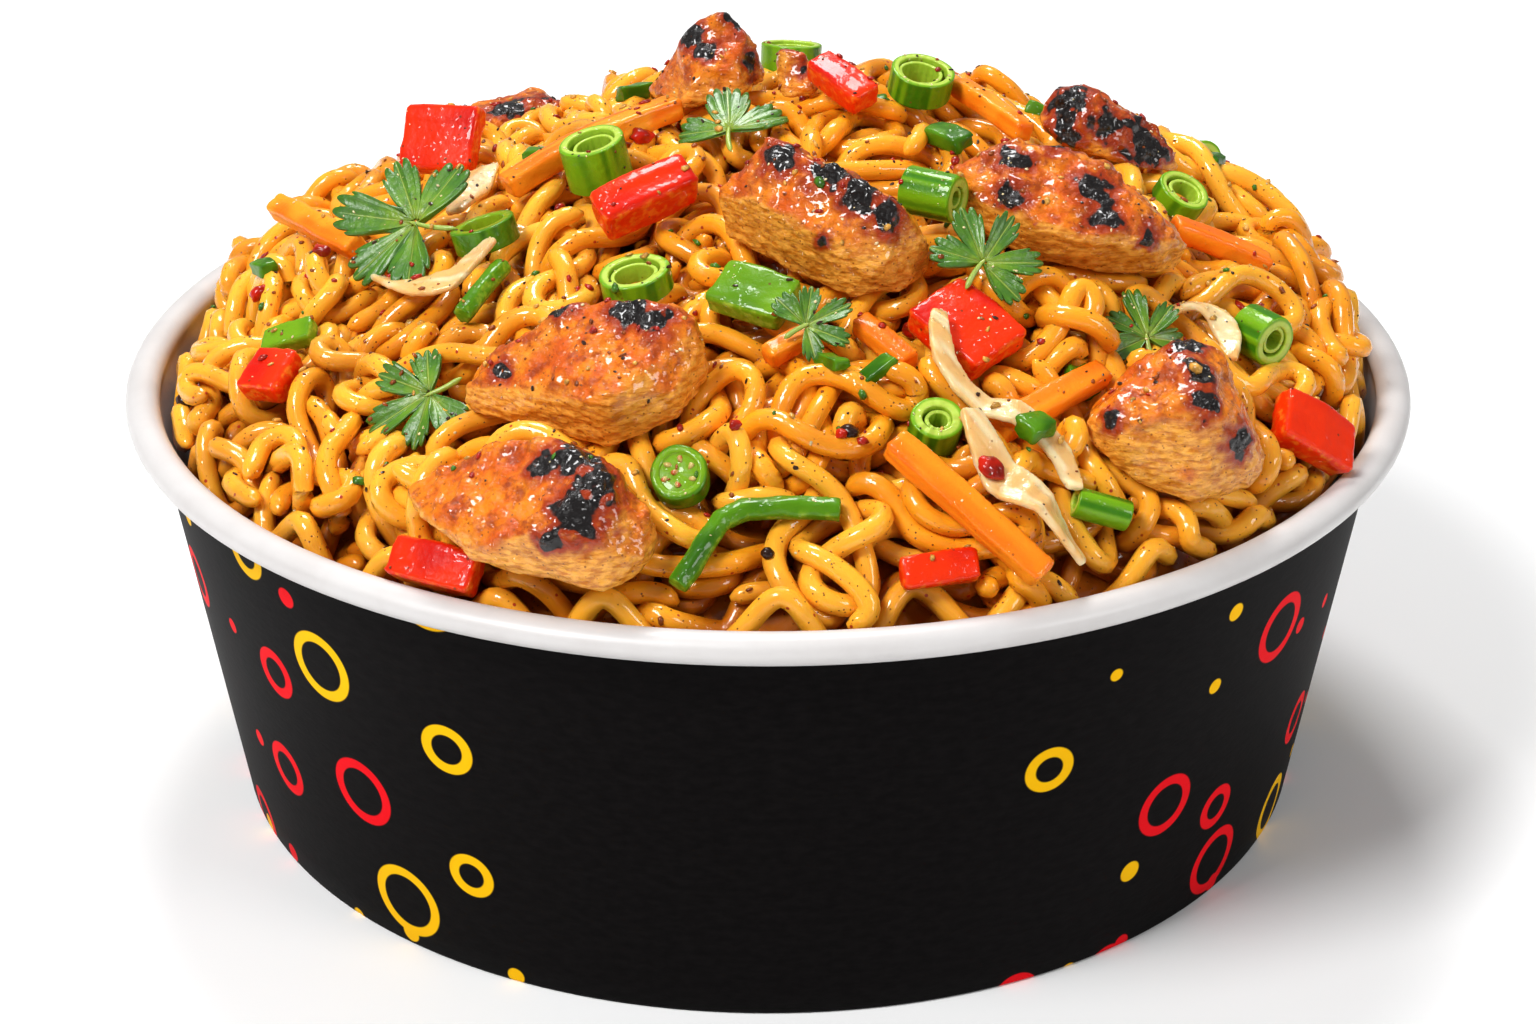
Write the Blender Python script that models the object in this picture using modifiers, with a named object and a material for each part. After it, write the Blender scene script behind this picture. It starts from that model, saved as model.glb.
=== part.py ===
"""A round paper noodle bowl, heaped with curly noodles, grilled chicken, vegetables and herbs.

Lengths are in millimetres and are turned into metres where they enter Blender. The origin is on
the table, under the middle of the bowl; +Z is up and the front of the bowl faces -Y.
"""

import math

import bmesh
import bpy
import numpy as np
from mathutils import Euler, Matrix, Vector
from mathutils.bvhtree import BVHTree

MM = 0.001

# The bowl: a paper wall with a rolled rim and a folded foot, and a base disc laid in on the foot.
RIM_RADIUS = 92.0
BOWL_HEIGHT = 62.0
FOOT_RADIUS = 79.0
PAPER = 0.6
GAP = 0.3
ROLL_WIDTH = 4.8
ROLL_HEIGHT = 4.0
ROLL_CENTRE = RIM_RADIUS - ROLL_WIDTH / 2
WALL_TOP_Z = BOWL_HEIGHT - ROLL_HEIGHT
WALL_TOP_RADIUS = 88.0
FOOT_THICKNESS = 3 * PAPER
FOOT_HEIGHT = 6.0
BASE_LOW_Z = FOOT_HEIGHT + GAP
BASE_TOP_Z = BASE_LOW_Z + PAPER
BOWL_SIDES = 48
ROLL_POINTS = 6

# The heap: its surface rises from the wall to a crown that lies right of the middle and behind it.
HEAP_RADIUS = 86.4
HEAP_EDGE_Z = 60.0
HEAP_CROWN_Z = 100.0
HEAP_SPREAD = 1.4
HEAP_FULLNESS = 0.56
CROWN_SHIFT = (12.0, 8.0)
CORE_DEPTH = 3.0
EDGE_DEPTH = 3.0
CORE_SIDES = 32
CORE_BUMP = 0.6

# The noodles that show: true thickness, six sides each.
NOODLE_RADIUS = 1.75
NOODLE_STEP = 3.2
NOODLE_TRIES = 220
NOODLES_KEPT = 17
NOODLE_SPACING = 7.5
NOODLE_POINTS = (7, 17)
SEED = 11

REST_GAP = 0.35
DROP_FROM = 34.0
DROP_STEP = 0.1

COLOURS = {
    "paper_black": ((0.012, 0.011, 0.012), 0.55),
    "paper_white": ((0.86, 0.85, 0.84), 0.5),
    "noodle": ((0.86, 0.48, 0.10), 0.3),
    "chicken": ((0.80, 0.38, 0.12), 0.4),
    "red_pepper": ((0.80, 0.03, 0.01), 0.25),
    "green_pepper": ((0.16, 0.38, 0.03), 0.3),
    "carrot": ((0.95, 0.28, 0.02), 0.35),
    "onion": ((0.88, 0.68, 0.42), 0.35),
    "coriander": ((0.07, 0.25, 0.04), 0.45),
}

# Each piece of topping: x and y where it rests on the heap, its turn about the heap's upright,
# its lean towards the front, its roll about its own length, and then its sizes.
# Cuts of chicken: place, turn, lean and roll in degrees, then corners in mm about their own middle.
CHICKEN = {
    "chicken_top": (-7, 14, 0, 0, 0, (
        (-12, 8, 0), (-6, -5, 0), (4, -5, 0), (8, 3, 0), (4, 10, 0), (-6, 11, 0), (2, 4, 13),
        (6, 2, 10), (-3, 4.5, 10), (-8, 7, 5), (1, 9, 8), (7, 3, 6), (-3, -3, 5), (4, -3, 6))),
    "chicken_top_small": (4.6, 11, 0, 0, 0, (
        (-3.5, -4, 0), (3, -5, 0), (3.5, 2, 0), (2, 6, 0), (-3, 5, 0), (-2, 1, 8.5), (2, 0, 6.5),
        (-3, 4, 6), (3, 2, 4))),
    "chicken_middle": (7, -31, 0, 0, 0, (
        (-13, 0, 0), (-7, -4, 0), (3.5, -14, 0), (10.5, -13, 0), (14, -8, 0), (9, 0, 0), (0, 6, 0),
        (-9, 7, 0), (-14, 2, 6), (-7, 5, 13.5), (-2, 0, 14), (3, -4, 14), (9.5, -9, 12),
        (14, -8.5, 6), (12, -5, 8), (6, 2, 8), (-2, 7, 8), (-9.5, -3, 9), (0, -11, 8), (8, -14, 6))),
    "chicken_right": (39.5, -24, 0, 0, 0, (
        (-16, -1, 0), (-11.5, -6, 0), (-4, -10, 0), (4, -9.5, 0), (13, -7, 0), (17, -3, 0), (12, 5, 0),
        (0, 8, 0), (-11, 7, 0), (-18, -1, 6), (-11.5, 2, 11.5), (-4.5, 2, 13), (2, 0, 13),
        (8, -4.5, 11.5), (17, -5, 6), (-15, -5, 4), (-7, -12, 8), (1, -13, 8), (10, -10, 7),
        (0, 7, 7), (10, 2, 7), (-10, 7, 6))),
    "chicken_far_right": (49, 7, 0, 0, 0, (
        (-12, -4, 0), (-8, -8, 0), (4, -6, 0), (12, 0, 0), (10, 6, 0), (-2, 7, 0), (-11, 4, 0),
        (-12, -2, 5), (-9, 1, 9), (-6, -5, 8.5), (0, -2, 7.5), (6, 0, 6.5), (11, 2, 2.5), (0, 5, 6))),
    "chicken_left": (-24, -53.5, 0, 0, 0, (
        (-15, -2, 0), (-2, -9.5, 0), (4, -13, 0), (13.5, -10, 0), (17.5, -3, 0), (15, 6, 0), (0, 9, 0),
        (-10, 6, 0), (-16, 0, 3), (-8.5, 4, 7), (-1, 6, 10), (10.5, 3, 12), (16, 1, 12),
        (18, -2, 9.5), (5.5, -13, 9), (1, -9.5, 8.5), (-8, -4, 4.5), (14, -10, 4))),
    "chicken_front": (-28, -72, 0, 0, 0, (
        (-7, 2, 0), (-3, -5, 0), (7, -11, 0), (12, -11, 0), (15, -5, 0), (12, 2, 0), (6, 4, 0),
        (-4, 6, 0), (-12, 6, 1), (-17, 4, 5), (-12, 6.5, 7), (-2.5, 7, 9), (5, 5, 11), (12, 0.5, 10),
        (10.5, -4, 13), (4, -10, 12.5), (-13, -2, 8), (15.5, -6.5, 6), (15, -12, 4), (8, -15, 4),
        (-8, -9, 7), (-15, 1, 6))),
    "chicken_side": (51, -53, 0, 0, 0, (
        (-11, -9, 0), (-5, -13, 0), (3.5, -13, 0), (10, -8, 0), (12.5, -2, 0), (6, 5, 0), (-6, 5, 0),
        (-12, -3, 0), (-3, 6.5, 11), (1.5, 6, 11), (-7, 3, 8), (-13, -7, 4), (-1, -6.5, 14),
        (-6, -8, 11), (7, -6, 10), (12.5, -4, 5), (-9, -11, 5), (3, -14, 4), (11.5, -8.5, 4))),
    "chicken_back_left": (-42, 60, 34, 0, 0, (
        (-13, -7, 0), (11, -8, 0), (13, 5, 0), (-2, 8, 0), (-12, 6, 0), (-11, 0, 6), (-2, 3, 9),
        (8, -1, 8), (12, 2, 4), (-8, -6, 4), (3, -7, 5))),
    "chicken_back": (24, 70, -18, 0, 0, (
        (-14, -5, 0), (-4, -9, 0), (11, -8, 0), (14, 3, 0), (3, 8, 0), (-12, 6, 0), (-10, 1, 7),
        (0, -2, 9), (9, 1, 7), (12, -2, 4), (-2, -8, 5), (2, 6, 5))),
}
# Cut vegetables: then length, width, thickness and bend in degrees.
RED_PEPPER = {
    "red_pepper_front": (-40, -73.5, -28, 0, 6, 12.5, 6, 4.5, 14),
    "red_pepper_back_left": (-46.5, 13, -8, 55, 0, 12, 10.5, 4, 8),
    "red_pepper_left_centre": (-16.5, -22, 27, 0, 22, 14.5, 6.5, 6, 8),
    "red_pepper_centre": (25, -48.5, -45, 4, 0, 12.5, 11, 4.5, 10),
    "red_pepper_right": (70.5, -43, 6, 0, 12, 12.5, 8.5, 4.5, 14),
    "red_pepper_left": (-66, -33.2, 62, 0, 12, 7.5, 7.5, 4.5, 12),
    "red_pepper_top": (10.5, 5, -50, 20, 0, 11, 5.5, 4, 8),
    "red_pepper_low": (20.5, -78.5, 14, 0, 8, 10, 4.5, 3, 8),
    "red_pepper_back": (-10, 73, 20, 0, 0, 13, 10, 4.5, 14),
}
GREEN_PEPPER = {
    "green_pepper_centre": (-1.5, -43.5, -30, 0, 10, 11, 8, 3.6, 14),
    "green_pepper_left": (-64.6, -24.6, -12, 0, 14, 8, 4.4, 3, 16),
}
CARROT = {
    "carrot_left": (-64, 1, -46, 22, 0, 22, 4.0, 3.4, 6),
    "carrot_top_left": (-24.5, 1, 31, 0, 0, 29, 4.6, 3.6, 16),
    "carrot_front": (24, -75, -38, 0, 0, 25, 4.2, 3.8, 5),
    "carrot_right": (35.5, -56, 43, 0, 0, 19, 4.0, 3.4, 6),
    "carrot_centre": (14.8, -50.8, -48, 0, 0, 10, 3.4, 3.0, 5),
    "carrot_small": (2.6, -51.8, 36, 0, 0, 7, 3.2, 3.0, 4),
    "carrot_top_right": (31.5, 6, -58, 0, 0, 17, 3.6, 3.2, 6),
    "carrot_far_right": (62, -13, 8, 0, 0, 16, 3.8, 3.4, 8),
    "carrot_back": (52, 54, 60, 0, 0, 24, 4.2, 3.6, 6),
}
# Cut rings and tubes: then outer diameter, hole diameter and height. No hole makes a disc.
SPRING_ONION = {
    "spring_onion_top": (21.5, 10, 0, 16, 0, 9.4, 6.8, 4.0),
    "spring_onion_left": (-23, -9, 0, 30, -30, 9.6, 6.6, 6.4),
    "spring_onion_ring": (-17, -38, 0, -8, 0, 9.6, 6.6, 3.2),
    "spring_onion_centre": (18.5, -29.3, 60, 0, 80, 6.6, 3.2, 7.4),
    "spring_onion_low": (20.5, -63.5, 0, -6, 8, 6.8, 3.6, 4.6),
    "spring_onion_right": (64, -32, 30, 0, 62, 7.0, 4.0, 5.6),
    "spring_onion_front": (38, -69, 88, 0, 90, 4.0, 1.8, 7.2),
    "spring_onion_far_right": (57.5, -3.5, 0, 40, -20, 7.8, 5.4, 2.8),
    "spring_onion_back": (3.5, 44, 30, 0, 10, 9.6, 6.8, 4.0),
    "spring_onion_back_right": (64, 42, 20, 0, 80, 6.4, 3.4, 7.0),
}
CHILLI = {
    "chilli_slice": (-10.6, -69.4, 0, 24, -12, 7.6, 0, 3.4),
    "chilli_ring": (-38, -19.5, 0, 0, -14, 9.4, 6.0, 3.4),
}
# Thin round pods and ribbons follow points on the heap: (x, y) pairs, then width and thickness.
GREEN_POD = {
    "green_bean": (((-40.5, -36.5), (-38, -32), (-35.5, -27)), 3.2),
    "green_strip": (((-11, -83.5), (-8, -80), (-4.5, -75.5), (2.5, -75), (9, -75.5)), 3.4),
}
ONION = {
    "onion_left": (((-54, -19), (-50, -24), (-45.5, -27.5), (-40.5, -27.5), (-36.5, -25.5)), 4.4, 1.1),
    "onion_top_left": (((-43.5, -9), (-42.5, -4), (-41, 1), (-39.5, 5.5)), 4.6, 1.1),
    "onion_curl": (
        ((21.5, -52), (21.5, -58), (25.5, -62), (32, -64), (36.5, -66.5), (38, -70)),
        4.0,
        1.1,
    ),
    "onion_front": (((24.4, -68), (27, -72), (30.6, -75.4), (34.4, -77.2), (38, -77.8)), 5.6, 1.2),
    "onion_right": (((52.5, -37.3), (55.6, -34.2), (59, -34.2), (61, -37.2), (60.5, -41.7)), 3.8, 1.1),
    "onion_back": (((6, 70), (2, 74), (-2, 75), (-4, 71)), 4.4, 1.1),
}
# Leaves: x, y, turn of the side away from the stalk, lean, roll, span, lobes.
CORIANDER = {
    "leaf_left": (-53, -14, 160, 30, 0, 18, 3),
    "leaf_top": (-5.5, 2.5, 92, 10, 0, 14, 3),
    "leaf_centre": (29.5, -41, 60, 26, 0, 12, 5),
    "leaf_right": (48.6, -39.6, 110, 22, 0, 10, 5),
    "leaf_front": (-47, -50, 200, 16, 0, 13, 3),
    "leaf_small": (7.2, -52, 30, 24, 0, 9, 5),
    "leaf_back": (38, 56, 200, 0, 0, 16, 3),
}
# What lies under something else goes in first.
LAID_FIRST = ("red_pepper_front", "red_pepper_left", "red_pepper_low")

# Small bits that lie fused on the noodles: x, y, length, width, height.
BITS = (
    (-58, 14, 6, 4, 3),
    (-33, -16, 5, 3, 2.6),
    (26, -11, 8, 4, 3),
    (9, -59, 6, 3.6, 2),
    (15, -61, 6, 3.2, 2),
    (-29, -77, 6, 2.8, 2.4),
    (34, -66, 4.6, 4, 3),
    (39, -48, 5, 4, 3),
    (-73, -14, 4, 4, 3),
    (-68, -20, 3.6, 3.4, 2.6),
    (10, -64, 2.8, 2.6, 2.4),
    (-76, -31, 3.4, 2.8, 2.6),
    (58, -24, 5, 4, 2.8),
    (-18, 14, 5, 4, 3),
)


def wall_radius(z):
    """Outer radius of the wall at height z: it leans out evenly from the foot to the roll."""
    return FOOT_RADIUS + (WALL_TOP_RADIUS - FOOT_RADIUS) * z / WALL_TOP_Z


def heap_height(x, y):
    """Height of the noodles' surface: a full dome whose crown is shifted, and whose edge is round."""
    reach = np.clip(1 - (x * x + y * y) / HEAP_RADIUS**2, 0, 1)
    out = np.hypot(x - CROWN_SHIFT[0] * reach, y - CROWN_SHIFT[1] * reach) / HEAP_RADIUS
    rise = np.clip(1 - out**HEAP_SPREAD, 0, 1) ** HEAP_FULLNESS
    return HEAP_EDGE_Z + (HEAP_CROWN_Z - HEAP_EDGE_Z) * rise


def core_height(x, y):
    """Height of the bare core: the heap's surface less the top layer of noodles, deeper at the edge."""
    bumps = np.sin(0.21 * x + 0.7) * np.sin(0.19 * y + 1.9) + 0.6 * np.sin(0.33 * x - 0.29 * y)
    edge = (np.hypot(x, y) / HEAP_RADIUS) ** 4
    return heap_height(x, y) - CORE_DEPTH - EDGE_DEPTH * edge + CORE_BUMP * bumps


def heap_normal(x, y):
    """Way that the heap faces, from height differences taken over 10 mm, never steeper than 45 degrees."""
    half = 5.0
    shrink = min(1.0, (HEAP_RADIUS - half - 1.0) / max(math.hypot(x, y), 1.0))
    x, y = x * shrink, y * shrink
    slope_x = (heap_height(x + half, y) - heap_height(x - half, y)) / (2 * half)
    slope_y = (heap_height(x, y + half) - heap_height(x, y - half)) / (2 * half)
    steepness = max(1.0, math.hypot(slope_x, slope_y))
    return Vector((-slope_x / steepness, -slope_y / steepness, 1.0)).normalized()


def clear_scene():
    for obj in list(bpy.data.objects):
        bpy.data.objects.remove(obj)


def make_collection(name):
    collection = bpy.data.collections.new(name)
    bpy.context.scene.collection.children.link(collection)
    return collection


def make_material(name):
    colour, roughness = COLOURS[name]
    material = bpy.data.materials.new(name)
    material.use_nodes = True
    shader = material.node_tree.nodes["Principled BSDF"]
    shader.inputs["Base Color"].default_value = (*colour, 1.0)
    shader.inputs["Roughness"].default_value = roughness
    shader.inputs["Metallic"].default_value = 0.0
    return material


def new_object(name, data, collection, material):
    obj = bpy.data.objects.new(name, data)
    obj.data.materials.append(material)
    collection.objects.link(obj)
    return obj


def finished_mesh(obj, weld=0.00002):
    """The object's evaluated mesh in world space, with its doubles merged."""
    bpy.context.view_layer.update()
    evaluated = obj.evaluated_get(bpy.context.evaluated_depsgraph_get())
    mesh = bpy.data.meshes.new_from_object(evaluated)
    mesh.transform(obj.matrix_world)
    shape = bmesh.new()
    shape.from_mesh(mesh)
    bmesh.ops.remove_doubles(shape, verts=shape.verts, dist=weld)
    bmesh.ops.recalc_face_normals(shape, faces=shape.faces)
    shape.to_mesh(mesh)
    shape.free()
    return mesh


def bake(obj):
    """Replaces an object by its finished mesh, standing where it stood."""
    name, collection, material = obj.name, obj.users_collection[0], obj.data.materials[0]
    mesh = finished_mesh(obj)
    bpy.data.objects.remove(obj)
    mesh.materials.clear()
    return new_object(name, mesh, collection, material)


def turned(name, profile, collection, material, steps):
    """A solid turned about +Z from a closed profile of (radius, height) in mm, outer side running down."""
    mesh = bpy.data.meshes.new(name)
    points = [(r * MM, 0.0, z * MM) for r, z in profile]
    last = len(points)
    edges = [(i, (i + 1) % last) for i in range(last)]
    mesh.from_pydata(points, edges, [])
    obj = new_object(name, mesh, collection, material)
    screw = obj.modifiers.new("turn", "SCREW")
    screw.steps = screw.render_steps = steps
    screw.use_merge_vertices = True
    screw.merge_threshold = 0.00001
    screw.use_smooth_shade = True
    return obj


def make_bowl(collection, material):
    """Wall, folded foot and rolled rim, all of one sheet of paper."""
    start, end = math.radians(200), math.radians(-125)
    roll = []
    for i in range(ROLL_POINTS):
        angle = start + (end - start) * i / (ROLL_POINTS - 1)
        out = ROLL_CENTRE + ROLL_WIDTH / 2 * math.cos(angle)
        up = BOWL_HEIGHT - ROLL_HEIGHT / 2 + ROLL_HEIGHT / 2 * math.sin(angle)
        roll.append((out, up))
    profile = roll + [
        (wall_radius(WALL_TOP_Z), WALL_TOP_Z),
        (wall_radius(0.4), 0.4),
        (wall_radius(0) - 0.4, 0.0),
        (wall_radius(0) - FOOT_THICKNESS, 0.0),
        (wall_radius(FOOT_HEIGHT) - FOOT_THICKNESS, FOOT_HEIGHT),
        (wall_radius(FOOT_HEIGHT) - PAPER, FOOT_HEIGHT),
        (wall_radius(WALL_TOP_Z) - PAPER, WALL_TOP_Z),
    ]
    return bake(turned("bowl", profile, collection, material, BOWL_SIDES))


def make_base(collection, material):
    """Base disc: it lies on the folded foot, so the bowl stands on the foot's edge alone."""
    inset = PAPER + GAP
    profile = [
        (0.0, BASE_TOP_Z),
        (wall_radius(BASE_TOP_Z) - inset, BASE_TOP_Z),
        (wall_radius(BASE_LOW_Z) - inset, BASE_LOW_Z),
        (0.0, BASE_LOW_Z),
    ]
    return bake(turned("bowl_base", profile, collection, material, BOWL_SIDES))


def make_core(collection, material):
    """The heap without its loose noodles: it fills the bowl and its top follows core_height."""
    floor_z = BASE_TOP_Z + GAP
    side_gap = PAPER + GAP + 0.25
    edge_z = HEAP_EDGE_Z - CORE_DEPTH - EDGE_DEPTH
    shares = (0.13, 0.27, 0.41, 0.55, 0.69, 0.82, 0.92, 0.98)
    profile = [(0.0, HEAP_CROWN_Z)]
    profile += [(HEAP_RADIUS * share, HEAP_CROWN_Z) for share in shares]
    profile += [
        (HEAP_RADIUS, edge_z),
        (wall_radius(floor_z) - side_gap, floor_z),
        (0.0, floor_z),
    ]
    core = bake(turned("noodles", profile, collection, material, CORE_SIDES))
    for vertex in core.data.vertices:
        if vertex.co.z > (HEAP_CROWN_Z - 1) * MM:
            vertex.co.z = float(core_height(vertex.co.x / MM, vertex.co.y / MM)) * MM
    return core


def seat(obj, x, y, turn, lean, roll):
    """Stands a piece on the heap at x, y: rolled and turned, then set to the heap's slope, then leant."""
    own = Euler((math.radians(roll), 0.0, math.radians(turn)), "XYZ").to_matrix()
    slope = Vector((0, 0, 1)).rotation_difference(heap_normal(x, y)).to_matrix()
    forward = Matrix.Rotation(math.radians(lean), 3, "X")
    place = Vector((x, y, float(heap_height(x, y)))) * MM
    obj.matrix_world = Matrix.Translation(place) @ (forward @ slope @ own).to_4x4()
    return obj


def chunk(name, collection, material, corners):
    """A cut of meat: the hull of its corners, with its edges worn round."""
    shape = bmesh.new()
    for corner in corners:
        shape.verts.new(Vector(corner) * MM)
    hull = bmesh.ops.convex_hull(shape, input=shape.verts, use_existing_faces=False)
    inner = {v for v in hull["geom_interior"] + hull["geom_unused"] if isinstance(v, bmesh.types.BMVert)}
    bmesh.ops.delete(shape, geom=list(inner), context="VERTS")
    bmesh.ops.dissolve_limit(
        shape, angle_limit=math.radians(9), verts=list(shape.verts), edges=list(shape.edges)
    )
    sharp = [e for e in shape.edges if e.calc_face_angle() > math.radians(24)]
    bmesh.ops.bevel(shape, geom=sharp, offset=1.1 * MM, segments=1, affect="EDGES", clamp_overlap=True)
    bmesh.ops.triangulate(shape, faces=shape.faces)
    mesh = bpy.data.meshes.new(name)
    shape.to_mesh(mesh)
    shape.free()
    return new_object(name, mesh, collection, material)


def cut_piece(name, collection, material, length, width, thickness, bend):
    """A cut of vegetable: a bar bent to an arc, with worn edges and its lower face on the heap."""
    shape = bmesh.new()
    bmesh.ops.create_cube(shape, size=1.0)
    long_edges = [e for e in shape.edges if abs(e.verts[0].co.x - e.verts[1].co.x) > 0.5]
    cuts = 3 if length > 2 * width else 1
    bmesh.ops.subdivide_edges(shape, edges=long_edges, cuts=cuts, use_grid_fill=True)
    turned_by = math.radians(bend)
    radius = length / turned_by
    for vertex in shape.verts:
        angle = vertex.co.x * turned_by
        up = vertex.co.z * thickness
        across = vertex.co.y * width * (1 - 0.12 * abs(vertex.co.x))
        arc = (radius + up) * math.cos(angle) - radius
        vertex.co = Vector(((radius + up) * math.sin(angle), across, arc + thickness / 2)) * MM
    sharp = [e for e in shape.edges if e.calc_face_angle() > math.radians(50)]
    bmesh.ops.bevel(shape, geom=sharp, offset=0.12 * min(width, thickness) * MM, segments=1, affect="EDGES")
    mesh = bpy.data.meshes.new(name)
    shape.to_mesh(mesh)
    shape.free()
    return new_object(name, mesh, collection, material)


def cut_ring(name, collection, material, outer, hole, height):
    """A slice of a hollow stem: a short tube, or a disc where there is no hole."""
    sides = 10
    soft = 0.14 * height
    low = [(outer / 2, height - soft), (outer / 2, soft)]
    if hole:
        profile = [(outer / 2 - 0.3, height), *low, (hole / 2, 0.0), (hole / 2, height)]
    else:
        profile = [(0.0, height * 0.9), (outer / 2 - 0.7, height), *low, (outer / 2 - 0.4, 0.0), (0.0, 0.0)]
    return bake(turned(name, profile, collection, material, sides))


def smooth_path(points, count):
    """Points read evenly from a smooth curve through the given ones (Catmull-Rom)."""
    given = np.array([points[0], *points, points[-1]], float)
    given[0] = 2 * given[1] - given[2]
    given[-1] = 2 * given[-2] - given[-3]
    spans = len(points) - 1
    place = np.linspace(0, spans, count)
    index = np.minimum(place.astype(int), spans - 1)
    t = (place - index)[:, None]
    a, b, c, d = (given[index + i] for i in range(4))
    return 0.5 * (2 * b + (c - a) * t + (2 * a - 5 * b + 4 * c - d) * t**2 + (3 * b - a - 3 * c + d) * t**3)


def drape(path, width, pile):
    """Heights at which a strip of this width clears what lies below each point of its path."""
    below = pile.tree()
    half = width / 2
    rays = ((0, 0), (half, 0), (-half, 0), (0, half), (0, -half))
    high = []
    for x, y in path:
        hits = [below.ray_cast(Vector((x + a, y + b, 150)) * MM, Vector((0, 0, -1)))[0] for a, b in rays]
        high.append(max(hit.z / MM for hit in hits if hit))
    wide = np.pad(np.array(high), 1, mode="edge")
    top = np.maximum(np.maximum(wide[:-2], wide[1:-1]), wide[2:])
    soft = np.pad(top, 1, mode="edge")
    return (soft[:-2] + soft[1:-1] + soft[2:]) / 3


def ribbon(name, collection, material, points, width, thickness, pile):
    """A shred of onion: a strip that follows points over the heap, twisted, with narrow ends."""
    count = 10
    path = smooth_path(points, count)
    high = drape(path, width, pile)
    along = np.gradient(path, axis=0)
    along /= np.linalg.norm(along, axis=1)[:, None]
    shape = bmesh.new()
    bmesh.ops.create_grid(shape, x_segments=count - 1, y_segments=1, size=0.5)
    for vertex in shape.verts:
        i = round((vertex.co.x + 0.5) * (count - 1))
        share = i / (count - 1)
        half = vertex.co.y * width * (0.4 + 0.6 * math.sin(math.pi * (0.08 + 0.84 * share)))
        twist = 0.35 * math.sin(6.0 * share + width)
        spot = (path[i][0] - along[i][1] * half, path[i][1] + along[i][0] * half, high[i] + twist * half)
        vertex.co = Vector(spot) * MM
    mesh = bpy.data.meshes.new(name)
    shape.to_mesh(mesh)
    shape.free()
    obj = new_object(name, mesh, collection, material)
    wall = obj.modifiers.new("thickness", "SOLIDIFY")
    wall.thickness = thickness * MM
    wall.offset = 1.0
    return bake(obj)


def tube(name, collection, material, points, diameter, sides_level=1):
    """A round strand through points in mm: a POLY curve with a bevel and filled caps, made a mesh."""
    curve = bpy.data.curves.new(name, "CURVE")
    curve.dimensions = "3D"
    curve.bevel_depth = diameter / 2 * MM
    curve.bevel_resolution = sides_level
    curve.use_fill_caps = True
    spline = curve.splines.new("POLY")
    spline.points.add(len(points) - 1)
    for slot, point in zip(spline.points, points):
        slot.co = (*(c * MM for c in point), 1.0)
    return bake(new_object(name, curve, collection, material))


def pod(name, collection, material, points, diameter, pile):
    """A green bean or a strip of green pepper: a round strand that lies on the heap."""
    path = smooth_path(points, 8)
    high = drape(path, diameter, pile) + diameter / 2
    return tube(name, collection, material, np.column_stack([path, high]), diameter)


def leaf(name, collection, material, span, lobes):
    """A coriander leaf: a wavy disc cut into lobes and teeth, with its stalk along -X."""
    around, sheet = 20, 0.5
    shape = bmesh.new()
    hub = shape.verts.new((0, 0, 0))
    rings = ([], [])
    for i in range(around):
        angle = 2 * math.pi * i / around
        lobe = 0.74 + 0.26 * math.cos(lobes * angle) * (1 if lobes % 2 else -1)
        reach = span / 2 * lobe * (1.13 if i % 2 else 0.87)
        if i == around // 2:
            reach = span * 0.66
        for ring, share in zip(rings, (0.45, 1.0)):
            out = reach * share
            wave = 0.05 * span * math.sin(3 * angle + 0.8) * share + 0.012 * (out * math.cos(angle)) ** 2
            ring.append(shape.verts.new((out * math.cos(angle), out * math.sin(angle), wave)))
    for i in range(around):
        j = (i + 1) % around
        shape.faces.new((hub, rings[0][i], rings[0][j]))
        shape.faces.new((rings[0][i], rings[1][i], rings[1][j]))
        shape.faces.new((rings[0][i], rings[1][j], rings[0][j]))
    for vertex in shape.verts:
        vertex.co *= MM
    mesh = bpy.data.meshes.new(name)
    shape.to_mesh(mesh)
    shape.free()
    obj = new_object(name, mesh, collection, material)
    wall = obj.modifiers.new("thickness", "SOLIDIFY")
    wall.thickness = sheet * MM
    wall.offset = 0.0
    return obj


def triangles_of(obj):
    """World corners and triangles of a baked object, for contact tests."""
    mesh = obj.data
    mesh.calc_loop_triangles()
    corners = [obj.matrix_world @ v.co for v in mesh.vertices]
    return corners, [tuple(t.vertices) for t in mesh.loop_triangles]


class Pile:
    """What already lies in the bowl. A new piece is let down on it until it all but touches."""

    def __init__(self):
        self.corners, self.faces = [], []

    def add(self, obj):
        corners, faces = triangles_of(obj)
        start = len(self.corners)
        self.corners += corners
        self.faces += [tuple(start + i for i in face) for face in faces]

    def tree(self):
        return BVHTree.FromPolygons(self.corners, self.faces)

    def let_down(self, obj):
        """Tests with a copy swollen by the gap, first in large steps, then in small ones."""
        corners, faces = triangles_of(obj)
        swollen = [c + v.normal * REST_GAP * MM for c, v in zip(corners, obj.data.vertices)]
        below = self.tree()
        height = DROP_FROM
        for step in (1.0, DROP_STEP):
            free = True
            while free and height > -9.0:
                height -= step
                moved = [c + Vector((0, 0, height * MM)) for c in swollen]
                free = not BVHTree.FromPolygons(moved, faces).overlap(below)
            height += step
        obj.data.transform(Matrix.Translation((0, 0, height * MM)))
        print(f"{obj.name} rests {height:.1f} mm from the heap")
        self.add(obj)


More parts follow.
